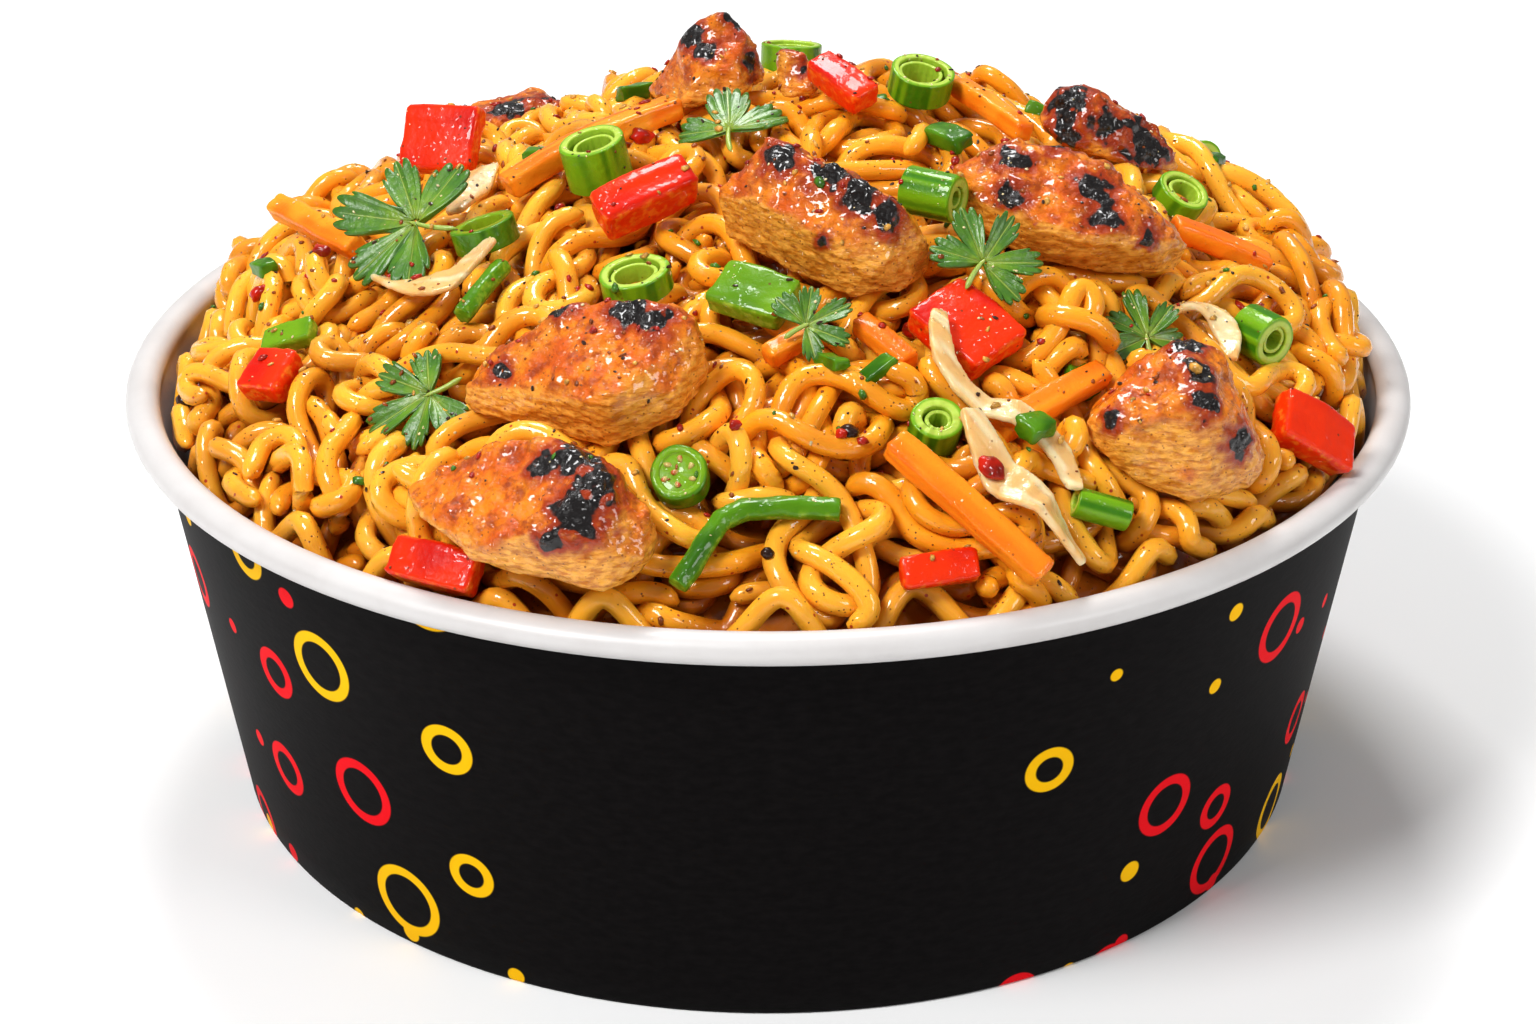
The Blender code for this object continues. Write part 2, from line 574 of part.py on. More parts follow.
def noodle_path(rng, start, count):
    """One noodle's (x, y) path: its heading swings to and fro like a river, so that it curls."""
    swing = rng.uniform(1.2, 1.95)
    wave = rng.uniform(20, 32)
    phase = rng.uniform(0, 2 * math.pi)
    heading = rng.uniform(0, 2 * math.pi)
    steps = np.arange(count) * NOODLE_STEP
    angle = heading + swing * np.sin(2 * math.pi * steps / wave + phase) + 0.012 * steps
    path = np.cumsum(np.stack([np.cos(angle), np.sin(angle)], 1) * NOODLE_STEP, axis=0)
    return path - path.mean(axis=0) + start


def longest_clear_run(clear):
    """Start and end of the longest stretch of True."""
    best, start = (0, 0), None
    for i, ok in enumerate([*clear, False]):
        if ok and start is None:
            start = i
        if not ok and start is not None:
            best = max(best, (start, i), key=lambda run: run[1] - run[0])
            start = None
    return best


def noodle_runs(toppings):
    """The noodles that show: candidates spread over the heap, cut back from the toppings and the wall."""
    rng = np.random.default_rng(SEED)
    runs = []
    limit = HEAP_RADIUS - NOODLE_RADIUS - 0.8
    for i in range(NOODLE_TRIES):
        out = limit * math.sqrt((i + 0.5) / NOODLE_TRIES)
        turn = i * math.pi * (3 - math.sqrt(5))
        start = np.array([out * math.cos(turn), out * math.sin(turn)])
        path = noodle_path(rng, start, NOODLE_POINTS[1])
        high = core_height(path[:, 0], path[:, 1]) + 0.62 * NOODLE_RADIUS
        points = np.column_stack([path, high])
        clear = np.hypot(path[:, 0], path[:, 1]) < limit
        for k in np.flatnonzero(clear):
            near = toppings.find_nearest(Vector(points[k]) * MM)
            clear[k] = near[3] > (NOODLE_RADIUS + 0.6) * MM
        first, last = longest_clear_run(clear)
        if last - first >= NOODLE_POINTS[0]:
            runs.append(points[first:last])
    kept = []
    while runs and len(kept) < NOODLES_KEPT:
        runs.sort(key=lambda run: worth(run, kept), reverse=True)
        kept.append(runs.pop(0))
        runs = [run for run in runs if distance(run, kept[-1]) > NOODLE_SPACING]
    return kept


def distance(run, other):
    return np.linalg.norm(run[:, None] - other[None], axis=2).min()


def worth(run, kept):
    """How much a noodle is wanted: long ones are, and ones that lie far from those already kept."""
    apart = min((distance(run, other) for other in kept), default=0.0)
    return min(apart, 30.0) + 0.3 * NOODLE_STEP * len(run)


def make_bit(name, collection, material, x, y, length, width, height):
    """A small bit of herb or chilli, half sunk in the core."""
    shape = bmesh.new()
    bmesh.ops.create_icosphere(shape, subdivisions=1, radius=0.5)
    for vertex in shape.verts:
        vertex.co = Vector((vertex.co.x * length, vertex.co.y * width, vertex.co.z * height)) * MM
    mesh = bpy.data.meshes.new(name)
    shape.to_mesh(mesh)
    shape.free()
    obj = new_object(name, mesh, collection, material)
    obj.location = Vector((x, y, float(core_height(x, y)) + 0.15 * height)) * MM
    obj.rotation_euler.z = x + y
    return bake(obj)


def fuse(core, pieces):
    """Joins the core and what lies on it into one solid, and removes the separate pieces."""
    union = core.modifiers.new("fuse", "BOOLEAN")
    union.operation = "UNION"
    union.operand_type = "COLLECTION"
    union.collection = pieces
    union.solver = "EXACT"
    mesh = finished_mesh(core)
    core.modifiers.remove(union)
    for obj in list(pieces.objects):
        bpy.data.objects.remove(obj)
    bpy.data.collections.remove(pieces)
    material = core.data.materials[0]
    core.data = mesh
    core.data.materials.clear()
    core.data.materials.append(material)
    drop_scraps(core)


def drop_scraps(obj):
    """Keeps the largest connected body of a mesh, and leaves out loose scraps and sealed pockets."""
    shape = bmesh.new()
    shape.from_mesh(obj.data)
    unseen, islands = set(shape.verts), []
    while unseen:
        island, queue = set(), [unseen.pop()]
        while queue:
            vertex = queue.pop()
            island.add(vertex)
            for edge in vertex.link_edges:
                other = edge.other_vert(vertex)
                if other in unseen:
                    unseen.remove(other)
                    queue.append(other)
        islands.append(island)
    largest = max(islands, key=len)
    loose = [v for island in islands if island is not largest for v in island]
    bmesh.ops.delete(shape, geom=loose, context="VERTS")
    bmesh.ops.triangulate(shape, faces=shape.faces)
    shape.to_mesh(obj.data)
    shape.free()
    print(f"{obj.name}: {len(obj.data.polygons)} triangles, {len(islands) - 1} scraps dropped")


def dress_heap(food, paint, pile):
    """Makes every topping and lets it down on the heap, the lower ones first."""
    seated = []
    for layout, maker, finish in (
        (CHICKEN, chunk, "chicken"),
        (RED_PEPPER, cut_piece, "red_pepper"),
        (GREEN_PEPPER, cut_piece, "green_pepper"),
        (CARROT, cut_piece, "carrot"),
        (CHILLI, cut_ring, "green_pepper"),
        (SPRING_ONION, cut_ring, "green_pepper"),
    ):
        seated += [(name, maker, paint[finish], place) for name, place in layout.items()]
    seated.sort(key=lambda piece: piece[0] not in LAID_FIRST)
    for name, maker, material, (x, y, turn, lean, roll, *sizes) in seated:
        obj = maker(name, food, material, *sizes)
        pile.let_down(bake(seat(obj, x, y, turn, lean, roll)))
    for name, (points, diameter) in GREEN_POD.items():
        pile.let_down(pod(name, food, paint["green_pepper"], points, diameter, pile))
    for name, (points, width, thickness) in ONION.items():
        pile.let_down(ribbon(name, food, paint["onion"], points, width, thickness, pile))
    for name, (x, y, turn, lean, roll, span, lobes) in CORIANDER.items():
        obj = leaf(name, food, paint["coriander"], span, lobes)
        pile.let_down(bake(seat(obj, x, y, turn, lean, roll)))


def main():
    clear_scene()
    bowl_parts = make_collection("noodle_bowl")
    food = make_collection("food")
    loose = make_collection("loose_noodles")
    paint = {name: make_material(name) for name in COLOURS}
    bowl = make_bowl(bowl_parts, paint["paper_black"])
    make_base(bowl_parts, paint["paper_white"])
    core = make_core(food, paint["noodle"])
    pile, toppings = Pile(), Pile()
    pile.add(core)
    pile.add(bowl)
    dress_heap(food, paint, pile)
    for obj in food.objects:
        if obj is not core:
            toppings.add(obj)
    above = toppings.tree()
    for i, run in enumerate(noodle_runs(above)):
        tube(f"strand_{i}", loose, paint["noodle"], run, 2 * NOODLE_RADIUS)
    for i, (x, y, length, width, height) in enumerate(BITS):
        spot = Vector((x, y, float(core_height(x, y)))) * MM
        if above.find_nearest(spot)[3] > (length / 2 + 0.6) * MM:
            make_bit(f"bit_{i}", loose, paint["noodle"], x, y, length, width, height)
    fuse(core, loose)
    for obj in food.objects:
        obj.data.shade_smooth()
        obj.data.set_sharp_from_angle(angle=math.radians(35))


main()
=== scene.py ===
# %% [markdown]
# # A round paper bowl, heaped with curly noodles
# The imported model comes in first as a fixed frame: one solid for each piece, all in metres, with
# the origin on the table under the middle of the bowl and the front facing -Y. Everything below
# dresses those solids. The script works in millimetres, as the maker does, and MM turns them
# into Blender's metres.

# %% Load the frame
import math

import bpy
import numpy as np
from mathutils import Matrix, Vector
from mathutils.bvhtree import BVHTree


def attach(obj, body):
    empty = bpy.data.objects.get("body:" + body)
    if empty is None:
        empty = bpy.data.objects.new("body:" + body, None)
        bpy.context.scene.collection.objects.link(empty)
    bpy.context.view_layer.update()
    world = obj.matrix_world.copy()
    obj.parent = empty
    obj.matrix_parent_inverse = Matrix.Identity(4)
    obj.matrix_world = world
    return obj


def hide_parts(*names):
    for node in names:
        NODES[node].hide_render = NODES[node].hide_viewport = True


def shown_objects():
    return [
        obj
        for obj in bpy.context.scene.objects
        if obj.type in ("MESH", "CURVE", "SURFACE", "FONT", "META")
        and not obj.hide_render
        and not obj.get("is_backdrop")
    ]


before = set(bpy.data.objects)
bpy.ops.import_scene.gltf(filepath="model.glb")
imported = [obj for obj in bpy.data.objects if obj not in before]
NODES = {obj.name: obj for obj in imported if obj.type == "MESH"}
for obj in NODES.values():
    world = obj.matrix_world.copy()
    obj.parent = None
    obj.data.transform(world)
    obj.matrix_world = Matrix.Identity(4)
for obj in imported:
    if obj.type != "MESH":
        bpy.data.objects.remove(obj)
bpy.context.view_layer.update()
MM = 0.001

# %% [markdown]
# ## The camera first
# The photograph looks down at the bowl from about 26 degrees with a fairly long lens. Knowing the
# camera from the start lets every later piece be judged in the picture that matters.

# %% Camera
CAMERA_PITCH = 25.75
CAMERA_DISTANCE = 455.2
CAMERA_AIM_Z = 34.9
CAMERA_LENS = 71.49

camera = bpy.data.objects.new("camera", bpy.data.cameras.new("camera"))
bpy.context.scene.collection.objects.link(camera)
camera.data.sensor_width = 36
camera.data.lens = CAMERA_LENS
pitch = math.radians(CAMERA_PITCH)
camera.location = (0, -CAMERA_DISTANCE * math.cos(pitch) * MM,
                   (CAMERA_AIM_Z + CAMERA_DISTANCE * math.sin(pitch)) * MM)
camera.rotation_euler = (math.pi / 2 - pitch, 0, 0)
bpy.context.scene.camera = camera
print("camera at", [round(v, 3) for v in camera.location])

# %% [markdown]
# ## Floor and light
# A food photograph on white is lit by large soft lamps: a key from the upper left and front, a
# fill from the right and a strip from behind that draws the wet highlights along the noodles.

# %% Floor, lamps and the white room
KEY_POWER, FILL_POWER, BACK_POWER = 7.6, 2.6, 5.4
ROOM_COLOUR, ROOM_STRENGTH = (1.0, 1.0, 1.0, 1), 0.22
FLOOR_COLOUR, FLOOR_HALF = (0.93, 0.93, 0.93, 1), 3000


def make_mesh(name, points, *face_sets, smooth=True):
    """A mesh from an (n, 3) array of points in mm and arrays of corner numbers, one row a face."""
    corners = np.concatenate([np.asarray(faces, np.int32).ravel() for faces in face_sets])
    sizes = np.concatenate([np.full(len(faces), np.shape(faces)[1], np.int32) for faces in face_sets])
    mesh = bpy.data.meshes.new(name)
    mesh.vertices.add(len(points))
    mesh.vertices.foreach_set("co", (np.asarray(points, float) * MM).astype(np.float32).ravel())
    mesh.loops.add(len(corners))
    mesh.loops.foreach_set("vertex_index", corners)
    mesh.polygons.add(len(sizes))
    mesh.polygons.foreach_set("loop_start", np.cumsum(sizes) - sizes)
    mesh.polygons.foreach_set("loop_total", sizes)
    mesh.polygons.foreach_set("use_smooth", np.full(len(sizes), smooth))
    mesh.update(calc_edges=True)
    mesh.validate()
    return mesh


def add_object(name, mesh, material):
    """An object at the origin that shows the mesh in one material."""
    mesh.materials.clear()
    mesh.materials.append(material)
    piece = bpy.data.objects.new(name, mesh)
    bpy.context.scene.collection.objects.link(piece)
    return piece


def add_lamp(name, place, size, power, aim=(0, 0, 0.05)):
    """A square area lamp at a place in metres, turned to face the food."""
    lamp = bpy.data.objects.new(name, bpy.data.lights.new(name, "AREA"))
    lamp.data.size = size
    lamp.data.energy = power
    lamp.location = place
    lamp.rotation_euler = (Vector(place) - Vector(aim)).to_track_quat("Z", "Y").to_euler()
    bpy.context.scene.collection.objects.link(lamp)
    return lamp


floor_paint = bpy.data.materials.new("floor_paint")
floor_paint.use_nodes = True
floor_shader = floor_paint.node_tree.nodes["Principled BSDF"]
floor_shader.inputs["Base Color"].default_value = FLOOR_COLOUR
floor_shader.inputs["Roughness"].default_value = 0.9
corners = [(x * FLOOR_HALF, y * FLOOR_HALF, 0) for x, y in ((-1, -1), (1, -1), (1, 1), (-1, 1))]
floor = add_object("floor", make_mesh("floor", corners, [(0, 1, 2, 3)]), floor_paint)
floor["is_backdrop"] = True
add_lamp("key_lamp", (-0.42, -0.42, 0.75), 0.28, KEY_POWER)
add_lamp("fill_lamp", (0.75, -0.55, 0.5), 0.3, FILL_POWER)
add_lamp("back_lamp", (-0.05, 0.42, 0.82), 0.28, BACK_POWER)
room = bpy.data.worlds.new("white_room")
room.use_nodes = True
room.node_tree.nodes["Background"].inputs["Color"].default_value = ROOM_COLOUR
room.node_tree.nodes["Background"].inputs["Strength"].default_value = ROOM_STRENGTH
bpy.context.scene.world = room
bpy.context.scene.view_settings.view_transform = "Standard"
print("floor, 3 lamps and a white room")

# %% [markdown]
# ## Paint kits
# Every finish below is a small network of shader nodes on the piece's own coordinates. These few
# helpers keep each network short to write: a noise, a ramp from numbers to colours, a sum, and
# the shader itself, whose plain numbers are set on its own sockets.

# %% Shader helpers
class Paint:
    """A material and short names for the nodes that most finishes share."""

    def __init__(self, name, **settings):
        self.material = bpy.data.materials.new(name)
        self.material.use_nodes = True
        self.tree = self.material.node_tree
        self.shader = self.tree.nodes["Principled BSDF"]
        for socket, value in settings.items():
            self.shader.inputs[socket.replace("_", " ")].default_value = value
        self.where = self.node("ShaderNodeTexCoord").outputs["Object"]

    def node(self, kind, links=(), **values):
        """A node with values on itself, and sockets linked or set by number or name."""
        made = self.tree.nodes.new(kind)
        for name, value in values.items():
            setattr(made, name, value)
        for socket, source in dict(links).items():
            if isinstance(source, bpy.types.NodeSocket):
                self.tree.links.new(source, made.inputs[socket])
            else:
                made.inputs[socket].default_value = source
        return made

    def noise(self, size_mm, detail=3.0, rough=0.5, where=None, stretch=(1, 1, 1)):
        """Noise with blobs about size_mm across, drawn longer along an axis by a stretch under 1."""
        scaled = self.node("ShaderNodeMapping", {"Vector": where or self.where,
                                                 "Scale": tuple(v / (size_mm * MM) for v in stretch)})
        return self.node("ShaderNodeTexNoise", {"Vector": scaled.outputs[0], "Scale": 1.0, "Detail": detail,
                                                "Roughness": rough}).outputs["Fac"]

    def cells(self, size_mm):
        """Voronoi cells about size_mm across: the distance to the middle of the nearest one."""
        scaled = self.node("ShaderNodeMapping", {"Vector": self.where, "Scale": (1 / (size_mm * MM),) * 3})
        return self.node("ShaderNodeTexVoronoi", {"Vector": scaled.outputs[0], "Scale": 1.0}).outputs["Distance"]

    def value(self, attribute):
        """The number that the mesh keeps at each point under this name."""
        return self.node("ShaderNodeAttribute", attribute_name=attribute).outputs["Fac"]

    def ramp(self, source, *stops):
        """A colour for each number: stops are (number, colour), read in between them."""
        made = self.node("ShaderNodeValToRGB", {"Fac": source})
        steps = made.color_ramp.elements
        while len(steps) < len(stops):
            steps.new(0.5)
        for step, (place, colour) in zip(steps, stops):
            step.position = place
            step.color = (*colour, 1)
        return made.outputs["Color"]

    def map(self, source, low, high, new_low=0.0, new_high=1.0, smooth=True):
        """The number carried from low..high over to new_low..new_high, and held at both ends."""
        made = self.node("ShaderNodeMapRange", {"Value": source, "From Min": low, "From Max": high,
                                                "To Min": new_low, "To Max": new_high},
                         interpolation_type="SMOOTHSTEP" if smooth else "LINEAR")
        return made.outputs["Result"]

    def math(self, kind, a, b=0.0):
        """One sum of two numbers."""
        return self.node("ShaderNodeMath", {0: a, 1: b}, operation=kind).outputs[0]

    def mix(self, share, a, b):
        """Colour a where share is 0, colour b where it is 1."""
        made = self.node("ShaderNodeMix", data_type="RGBA")
        for socket, source in ((made.inputs[0], share), (made.inputs[6], a), (made.inputs[7], b)):
            if isinstance(source, bpy.types.NodeSocket):
                self.tree.links.new(source, socket)
            else:
                socket.default_value = source if isinstance(source, (int, float)) else (*source, 1)
        return made.outputs[2]

    def beads(self, size_mm, patch_mm):
        """Domes of oil about size_mm apart, high in patches about patch_mm across and low between them."""
        dome = self.map(self.cells(size_mm), 0.0, 0.55, 1, 0)
        return self.math("MULTIPLY", dome, self.map(self.noise(patch_mm, 2), 0.42, 0.60, 0.08, 1))

    def specks(self, colour, size_mm, full, edge, share, tint):
        """The colour with round specks about size_mm apart, each solid out to full and gone at edge."""
        spots = self.map(self.cells(size_mm), edge, full)
        return self.mix(spots if share == 1 else self.math("MULTIPLY", spots, share), colour, tint)

    def colour(self, source):
        """Links the colour that a finish ends with."""
        self.tree.links.new(source, self.shader.inputs["Base Color"])

    def bump(self, height, depth_mm, strength=1.0, beads=None, bead_mm=0.2):
        """Small relief: a height of 0 to 1 stands for depth_mm of it. Beads of oil lie on the coat alone."""
        made = self.node("ShaderNodeBump", {"Height": height, "Distance": depth_mm * MM, "Strength": strength})
        self.tree.links.new(made.outputs["Normal"], self.shader.inputs["Normal"])
        if beads is not None:
            coat = self.node("ShaderNodeBump", {"Height": beads, "Distance": bead_mm * MM, "Strength": 1.0})
            self.tree.links.new(coat.outputs["Normal"], self.shader.inputs["Coat Normal"])


print("paint helpers ready")

# %% [markdown]
# ## The paper bowl
# The real bowl is one sheet of coated board, white inside and printed black outside, lapped and
# glued down a seam at the back, with its rim rolled outwards and its foot folded in. The CAD
# bowl has 48 flat sides; this one is turned from the same profile with 192, and the lap of the
# seam is raised by the thickness of the paper. A turned surface is a grid: profile point by angle.

# %% Turn the bowl
RIM_RADIUS, BOWL_HEIGHT, FOOT_RADIUS, PAPER = 91.98, 62.0, 79.0, 0.6
ROLL_WIDTH, ROLL_HEIGHT = 4.8, 4.0
WALL_TOP_RADIUS, WALL_TOP_Z = 88.0, 58.0
FOOT_FOLD, FOOT_HEIGHT = 1.8, 6.0
LAP_WIDTH, LAP_RISE = 9.0, 0.35
BOWL_COLUMNS, BASE_COLUMNS = 192, 128
SHEET_RADIUS = 84
SHEET_TURN = 2 * math.pi * SHEET_RADIUS


def wall_outside(z):
    """Outer radius of the wall: it leans out evenly from the foot to the roll."""
    return FOOT_RADIUS + (WALL_TOP_RADIUS - FOOT_RADIUS) * z / WALL_TOP_Z


def bowl_profile():
    """Closed profile of (radius, height): rolled rim, outer wall down, folded foot, inner wall up."""
    angle = np.radians(np.linspace(205, -125, 22))
    centre = RIM_RADIUS - ROLL_WIDTH / 2, BOWL_HEIGHT - ROLL_HEIGHT / 2
    roll = np.stack([centre[0] + ROLL_WIDTH / 2 * np.cos(angle),
                     centre[1] + ROLL_HEIGHT / 2 * np.sin(angle)], -1)
    down = np.linspace(WALL_TOP_Z - 0.1, 0.5, 16)
    wall = np.stack([wall_outside(down), down], -1)
    foot = np.array([(FOOT_RADIUS - 0.1, 0.15), (FOOT_RADIUS - 0.5, 0.0), (FOOT_RADIUS - FOOT_FOLD + 0.3, 0.0),
                     (FOOT_RADIUS - FOOT_FOLD, 0.3), (wall_outside(FOOT_HEIGHT) - FOOT_FOLD, FOOT_HEIGHT),
                     (wall_outside(FOOT_HEIGHT) - PAPER, FOOT_HEIGHT + 0.1)])
    rise = np.linspace(10, WALL_TOP_Z, 8)
    inner = np.stack([wall_outside(rise) - PAPER, rise], -1)
    return np.concatenate([roll, wall, foot, inner]), (len(roll), len(roll) + len(wall) + 4)


def turned_mesh(name, profile, columns, swell=0.0):
    """A grid of profile point by angle, closed both ways: x = r cos, y = r sin.

    The UV is (arc, height) in metres, as on the sheet before it was rolled up."""
    angle = 2 * np.pi * np.arange(columns) / columns + np.pi / 2
    radius = np.repeat(profile[:, :1], columns, axis=1) + swell
    points = np.stack([radius * np.cos(angle), radius * np.sin(angle),
                       np.repeat(profile[:, 1:], columns, axis=1)], -1)
    rows = len(profile)
    number = np.arange(rows * columns).reshape(rows, columns)
    here, below = number, np.roll(number, -1, 0)
    quads = np.stack([here, below, np.roll(below, -1, 1), np.roll(here, -1, 1)], -1)
    mesh = make_mesh(name, points.reshape(-1, 3), quads.reshape(-1, 4))
    start = np.broadcast_to(np.arange(columns), (rows, columns))
    across = np.stack([start, start, start + 1, start + 1], -1) * SHEET_TURN * MM / columns
    up = np.broadcast_to(profile[:, 1:], (rows, columns)) * MM
    height = np.stack([up, np.roll(up, -1, 0), np.roll(up, -1, 0), up], -1)
    flat = np.stack([across, height], -1).ravel().astype(np.float32)
    mesh.uv_layers.new(name="sheet").data.foreach_set("uv", flat)
    return mesh


profile, (print_start, print_end) = bowl_profile()
arc_from_seam = SHEET_TURN * np.arange(BOWL_COLUMNS) / BOWL_COLUMNS
lap = LAP_RISE * np.clip((LAP_WIDTH - arc_from_seam) / 1.5, 0, 1)
on_wall = (np.arange(len(profile)) >= print_start) & (np.arange(len(profile)) < print_end - 4)
bowl_mesh = turned_mesh("paper_bowl", profile, BOWL_COLUMNS, on_wall[:, None] * lap)
print("bowl of", len(profile), "rings and", BOWL_COLUMNS, "columns")

# %% [markdown]
# ## White board and black print
# The board is white, slightly glossy and faintly mottled. The print on its outside is black with
# a plain pattern of our own in red and yellow: open rings, with dots between them. Each ring sits
# in a Voronoi cell of the unrolled sheet, and its line is where the distance to the cell's middle
# equals its radius. The middle of the front stays bare.

# %% White board
BOARD_WHITE, BOARD_SHADE = (0.63, 0.61, 0.602), (0.585, 0.56, 0.55)
PRINT_BLACK, PRINT_WORN = (0.0020, 0.0016, 0.0016), (0.0046, 0.0038, 0.0038)
PRINT_RED, PRINT_YELLOW = (0.78, 0.004, 0.010), (0.93, 0.50, 0.002)
BARE_HALF_WIDTH = 34.0


def white_board():
    """Coated board: nearly white, a little warmer in soft patches, with a very fine tooth."""
    paint = Paint("white_board", Roughness=0.42, Coat_Weight=0.15, Coat_Roughness=0.25)
    mottle = paint.noise(9, 4)
    paint.colour(paint.mix(paint.map(mottle, 0.35, 0.7), BOARD_WHITE, BOARD_SHADE))
    paint.bump(paint.noise(0.5, 3), 0.05, 0.4)
    return paint.material


# %% Printed board
def shape_mask(paint, distance, edge=0.12):
    """1 where the distance to an outline is below zero, with a soft edge of a tenth of a millimetre."""
    return paint.map(distance, edge * MM, -edge * MM)


def printed_board():
    """Black print with red and yellow rings and dots, on the sheet's own UV."""
    paint = Paint("printed_board", Roughness=0.55, Specular_IOR_Level=0.03)
    sheet = paint.node("ShaderNodeUVMap", uv_map="sheet").outputs["UV"]
    mottle = paint.noise(1.1, 5, 0.65, where=sheet, stretch=(0.45, 1, 1))
    black = paint.mix(paint.map(mottle, 0.3, 0.75), PRINT_BLACK, PRINT_WORN)

    def motif(cell, radius, line, keep, shift):
        """Rings, or dots where the line is None: one in a cell, of its own size, kept if its number is low."""
        grid = paint.node("ShaderNodeMapping", {"Vector": sheet, "Location": (shift, shift * 0.37, 0),
                                                "Scale": (1 / (cell * MM), 1 / (cell * MM), 1)})
        spots = paint.node("ShaderNodeTexVoronoi", {"Vector": grid.outputs[0], "Scale": 1.0,
                                                    "Randomness": 0.6}, voronoi_dimensions="2D")
        chance = paint.node("ShaderNodeSeparateColor", {0: spots.outputs["Color"]})
        middle = paint.node("ShaderNodeSeparateXYZ", {0: spots.outputs["Position"]}).outputs["X"]
        arc = paint.math("MULTIPLY", paint.math("SUBTRACT", middle, shift), cell * MM)
        from_front = paint.math("ABSOLUTE", paint.math("SUBTRACT", arc, SHEET_TURN / 2 * MM))
        beside = paint.math("GREATER_THAN", from_front, BARE_HALF_WIDTH * MM)
        away = paint.math("MULTIPLY", spots.outputs["Distance"], cell * MM)
        own = paint.map(chance.outputs["Green"], 0, 1, radius * 0.5 * MM, radius * MM, smooth=False)
        outline = paint.math("SUBTRACT", away, own)
        if line:
            outline = paint.math("SUBTRACT", paint.math("ABSOLUTE", outline), line / 2 * MM)
        kept = paint.math("MULTIPLY", beside, paint.math("LESS_THAN", chance.outputs["Red"], keep))
        return paint.math("MULTIPLY", shape_mask(paint, outline), kept), chance

    rings, ring_chance = motif(19.0, 5.2, 1.5, 0.72, 0.4)
    dots, dot_chance = motif(10.0, 1.7, None, 0.34, 3.3)
    ink = paint.mix(paint.math("GREATER_THAN", ring_chance.outputs["Blue"], 0.5), PRINT_RED, PRINT_YELLOW)
    dot_ink = paint.mix(paint.math("GREATER_THAN", dot_chance.outputs["Blue"], 0.5), PRINT_YELLOW, PRINT_RED)
    paint.colour(paint.mix(rings, paint.mix(dots, black, dot_ink), ink))
    paint.bump(paint.noise(0.7, 4, where=sheet, stretch=(0.5, 1, 1)), 0.06, 0.5)
    return paint.material


paper_bowl = add_object("paper_bowl", bowl_mesh, white_board())
bowl_mesh.materials.append(printed_board())
ring = np.repeat(np.arange(len(profile)), BOWL_COLUMNS)
printed = (ring >= print_start - 1) & (ring < print_end)
bowl_mesh.polygons.foreach_set("material_index", printed.astype(np.int32))
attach(paper_bowl, "root")
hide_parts("bowl")
print("bowl dressed, print on rings", print_start, "to", print_end)

# %% Base disc
def base_profile():
    """A disc of board with softly pressed rings: out along the top and back along the underside."""
    out = np.linspace(0.01, 76.5, 24)
    groove = np.clip((out - 70) / 4, 0, 1) * np.clip((76 - out) / 2, 0, 1)
    top = 6.9 - 0.12 * (np.cos(out / 6.5) > 0.8) - 0.25 * groove
    top = np.stack([np.append(out, 79.1), np.append(top, 6.9)], -1)
    low = np.stack([np.append(out, 79.0)[::-1], np.full(25, 6.3)], -1)
    return np.concatenate([top, low])


base_mesh = turned_mesh("paper_base", base_profile()[::-1], BASE_COLUMNS)
base_board = add_object("paper_base", base_mesh, white_board())
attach(base_board, "root")
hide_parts("bowl_base")
print("base disc of", len(base_mesh.polygons), "faces")

# %% [markdown]
# ## Where the noodles may lie
# Real noodles are poured in and find their own places under their weight, round the meat and the
# vegetables. So their space is described first: the heap's dome, the paper wall, and a grid that
# holds, for every point round the toppings, how far it is from them and which way is out.

# %% The heap and the wall, in the same numbers as the solids
INSIDE_FOOT_RADIUS, INSIDE_GROWTH = 77.9, 8.7
HEAP_RADIUS, HEAP_EDGE_Z, HEAP_CROWN_Z = 86.4, 60.0, 100.0
HEAP_SPREAD, HEAP_FULLNESS = 1.4, 0.56
CROWN_SHIFT = (12.0, 8.0)


def heap_height(x, y):
    """The heap's surface: edge + (crown - edge) * (1 - out^spread)^fullness.

    Here out is 0 at the crown and 1 at the wall."""
    reach = np.clip(1 - (x * x + y * y) / HEAP_RADIUS**2, 0, 1)
    out = np.hypot(x - CROWN_SHIFT[0] * reach, y - CROWN_SHIFT[1] * reach) / HEAP_RADIUS
    return HEAP_EDGE_Z + (HEAP_CROWN_Z - HEAP_EDGE_Z) * np.clip(1 - out**HEAP_SPREAD, 0, 1) ** HEAP_FULLNESS


def wall_inside(z):
    """Inner radius of the paper wall at height z: a cone from 77.9 mm at the table to 86.6 mm at the roll."""
    return INSIDE_FOOT_RADIUS + INSIDE_GROWTH * np.clip(z, 0, WALL_TOP_Z) / WALL_TOP_Z


print("heap rises from", HEAP_EDGE_Z, "to", round(float(heap_height(*CROWN_SHIFT)), 1), "mm")

# %% Distance to the toppings, on a grid
GRID_STEP = 1.5
GRID_LOW = np.array([-93.0, -93.0, 46.0])
GRID_SIZE = (125, 125, 48)
GRID_REACH, GRID_DEPTH = 6.0, 16
NOT_FOOD_ON_TOP = ("bowl", "bowl_base", "noodles")
TOPPINGS = sorted(name for name in NODES if name not in NOT_FOOD_ON_TOP)


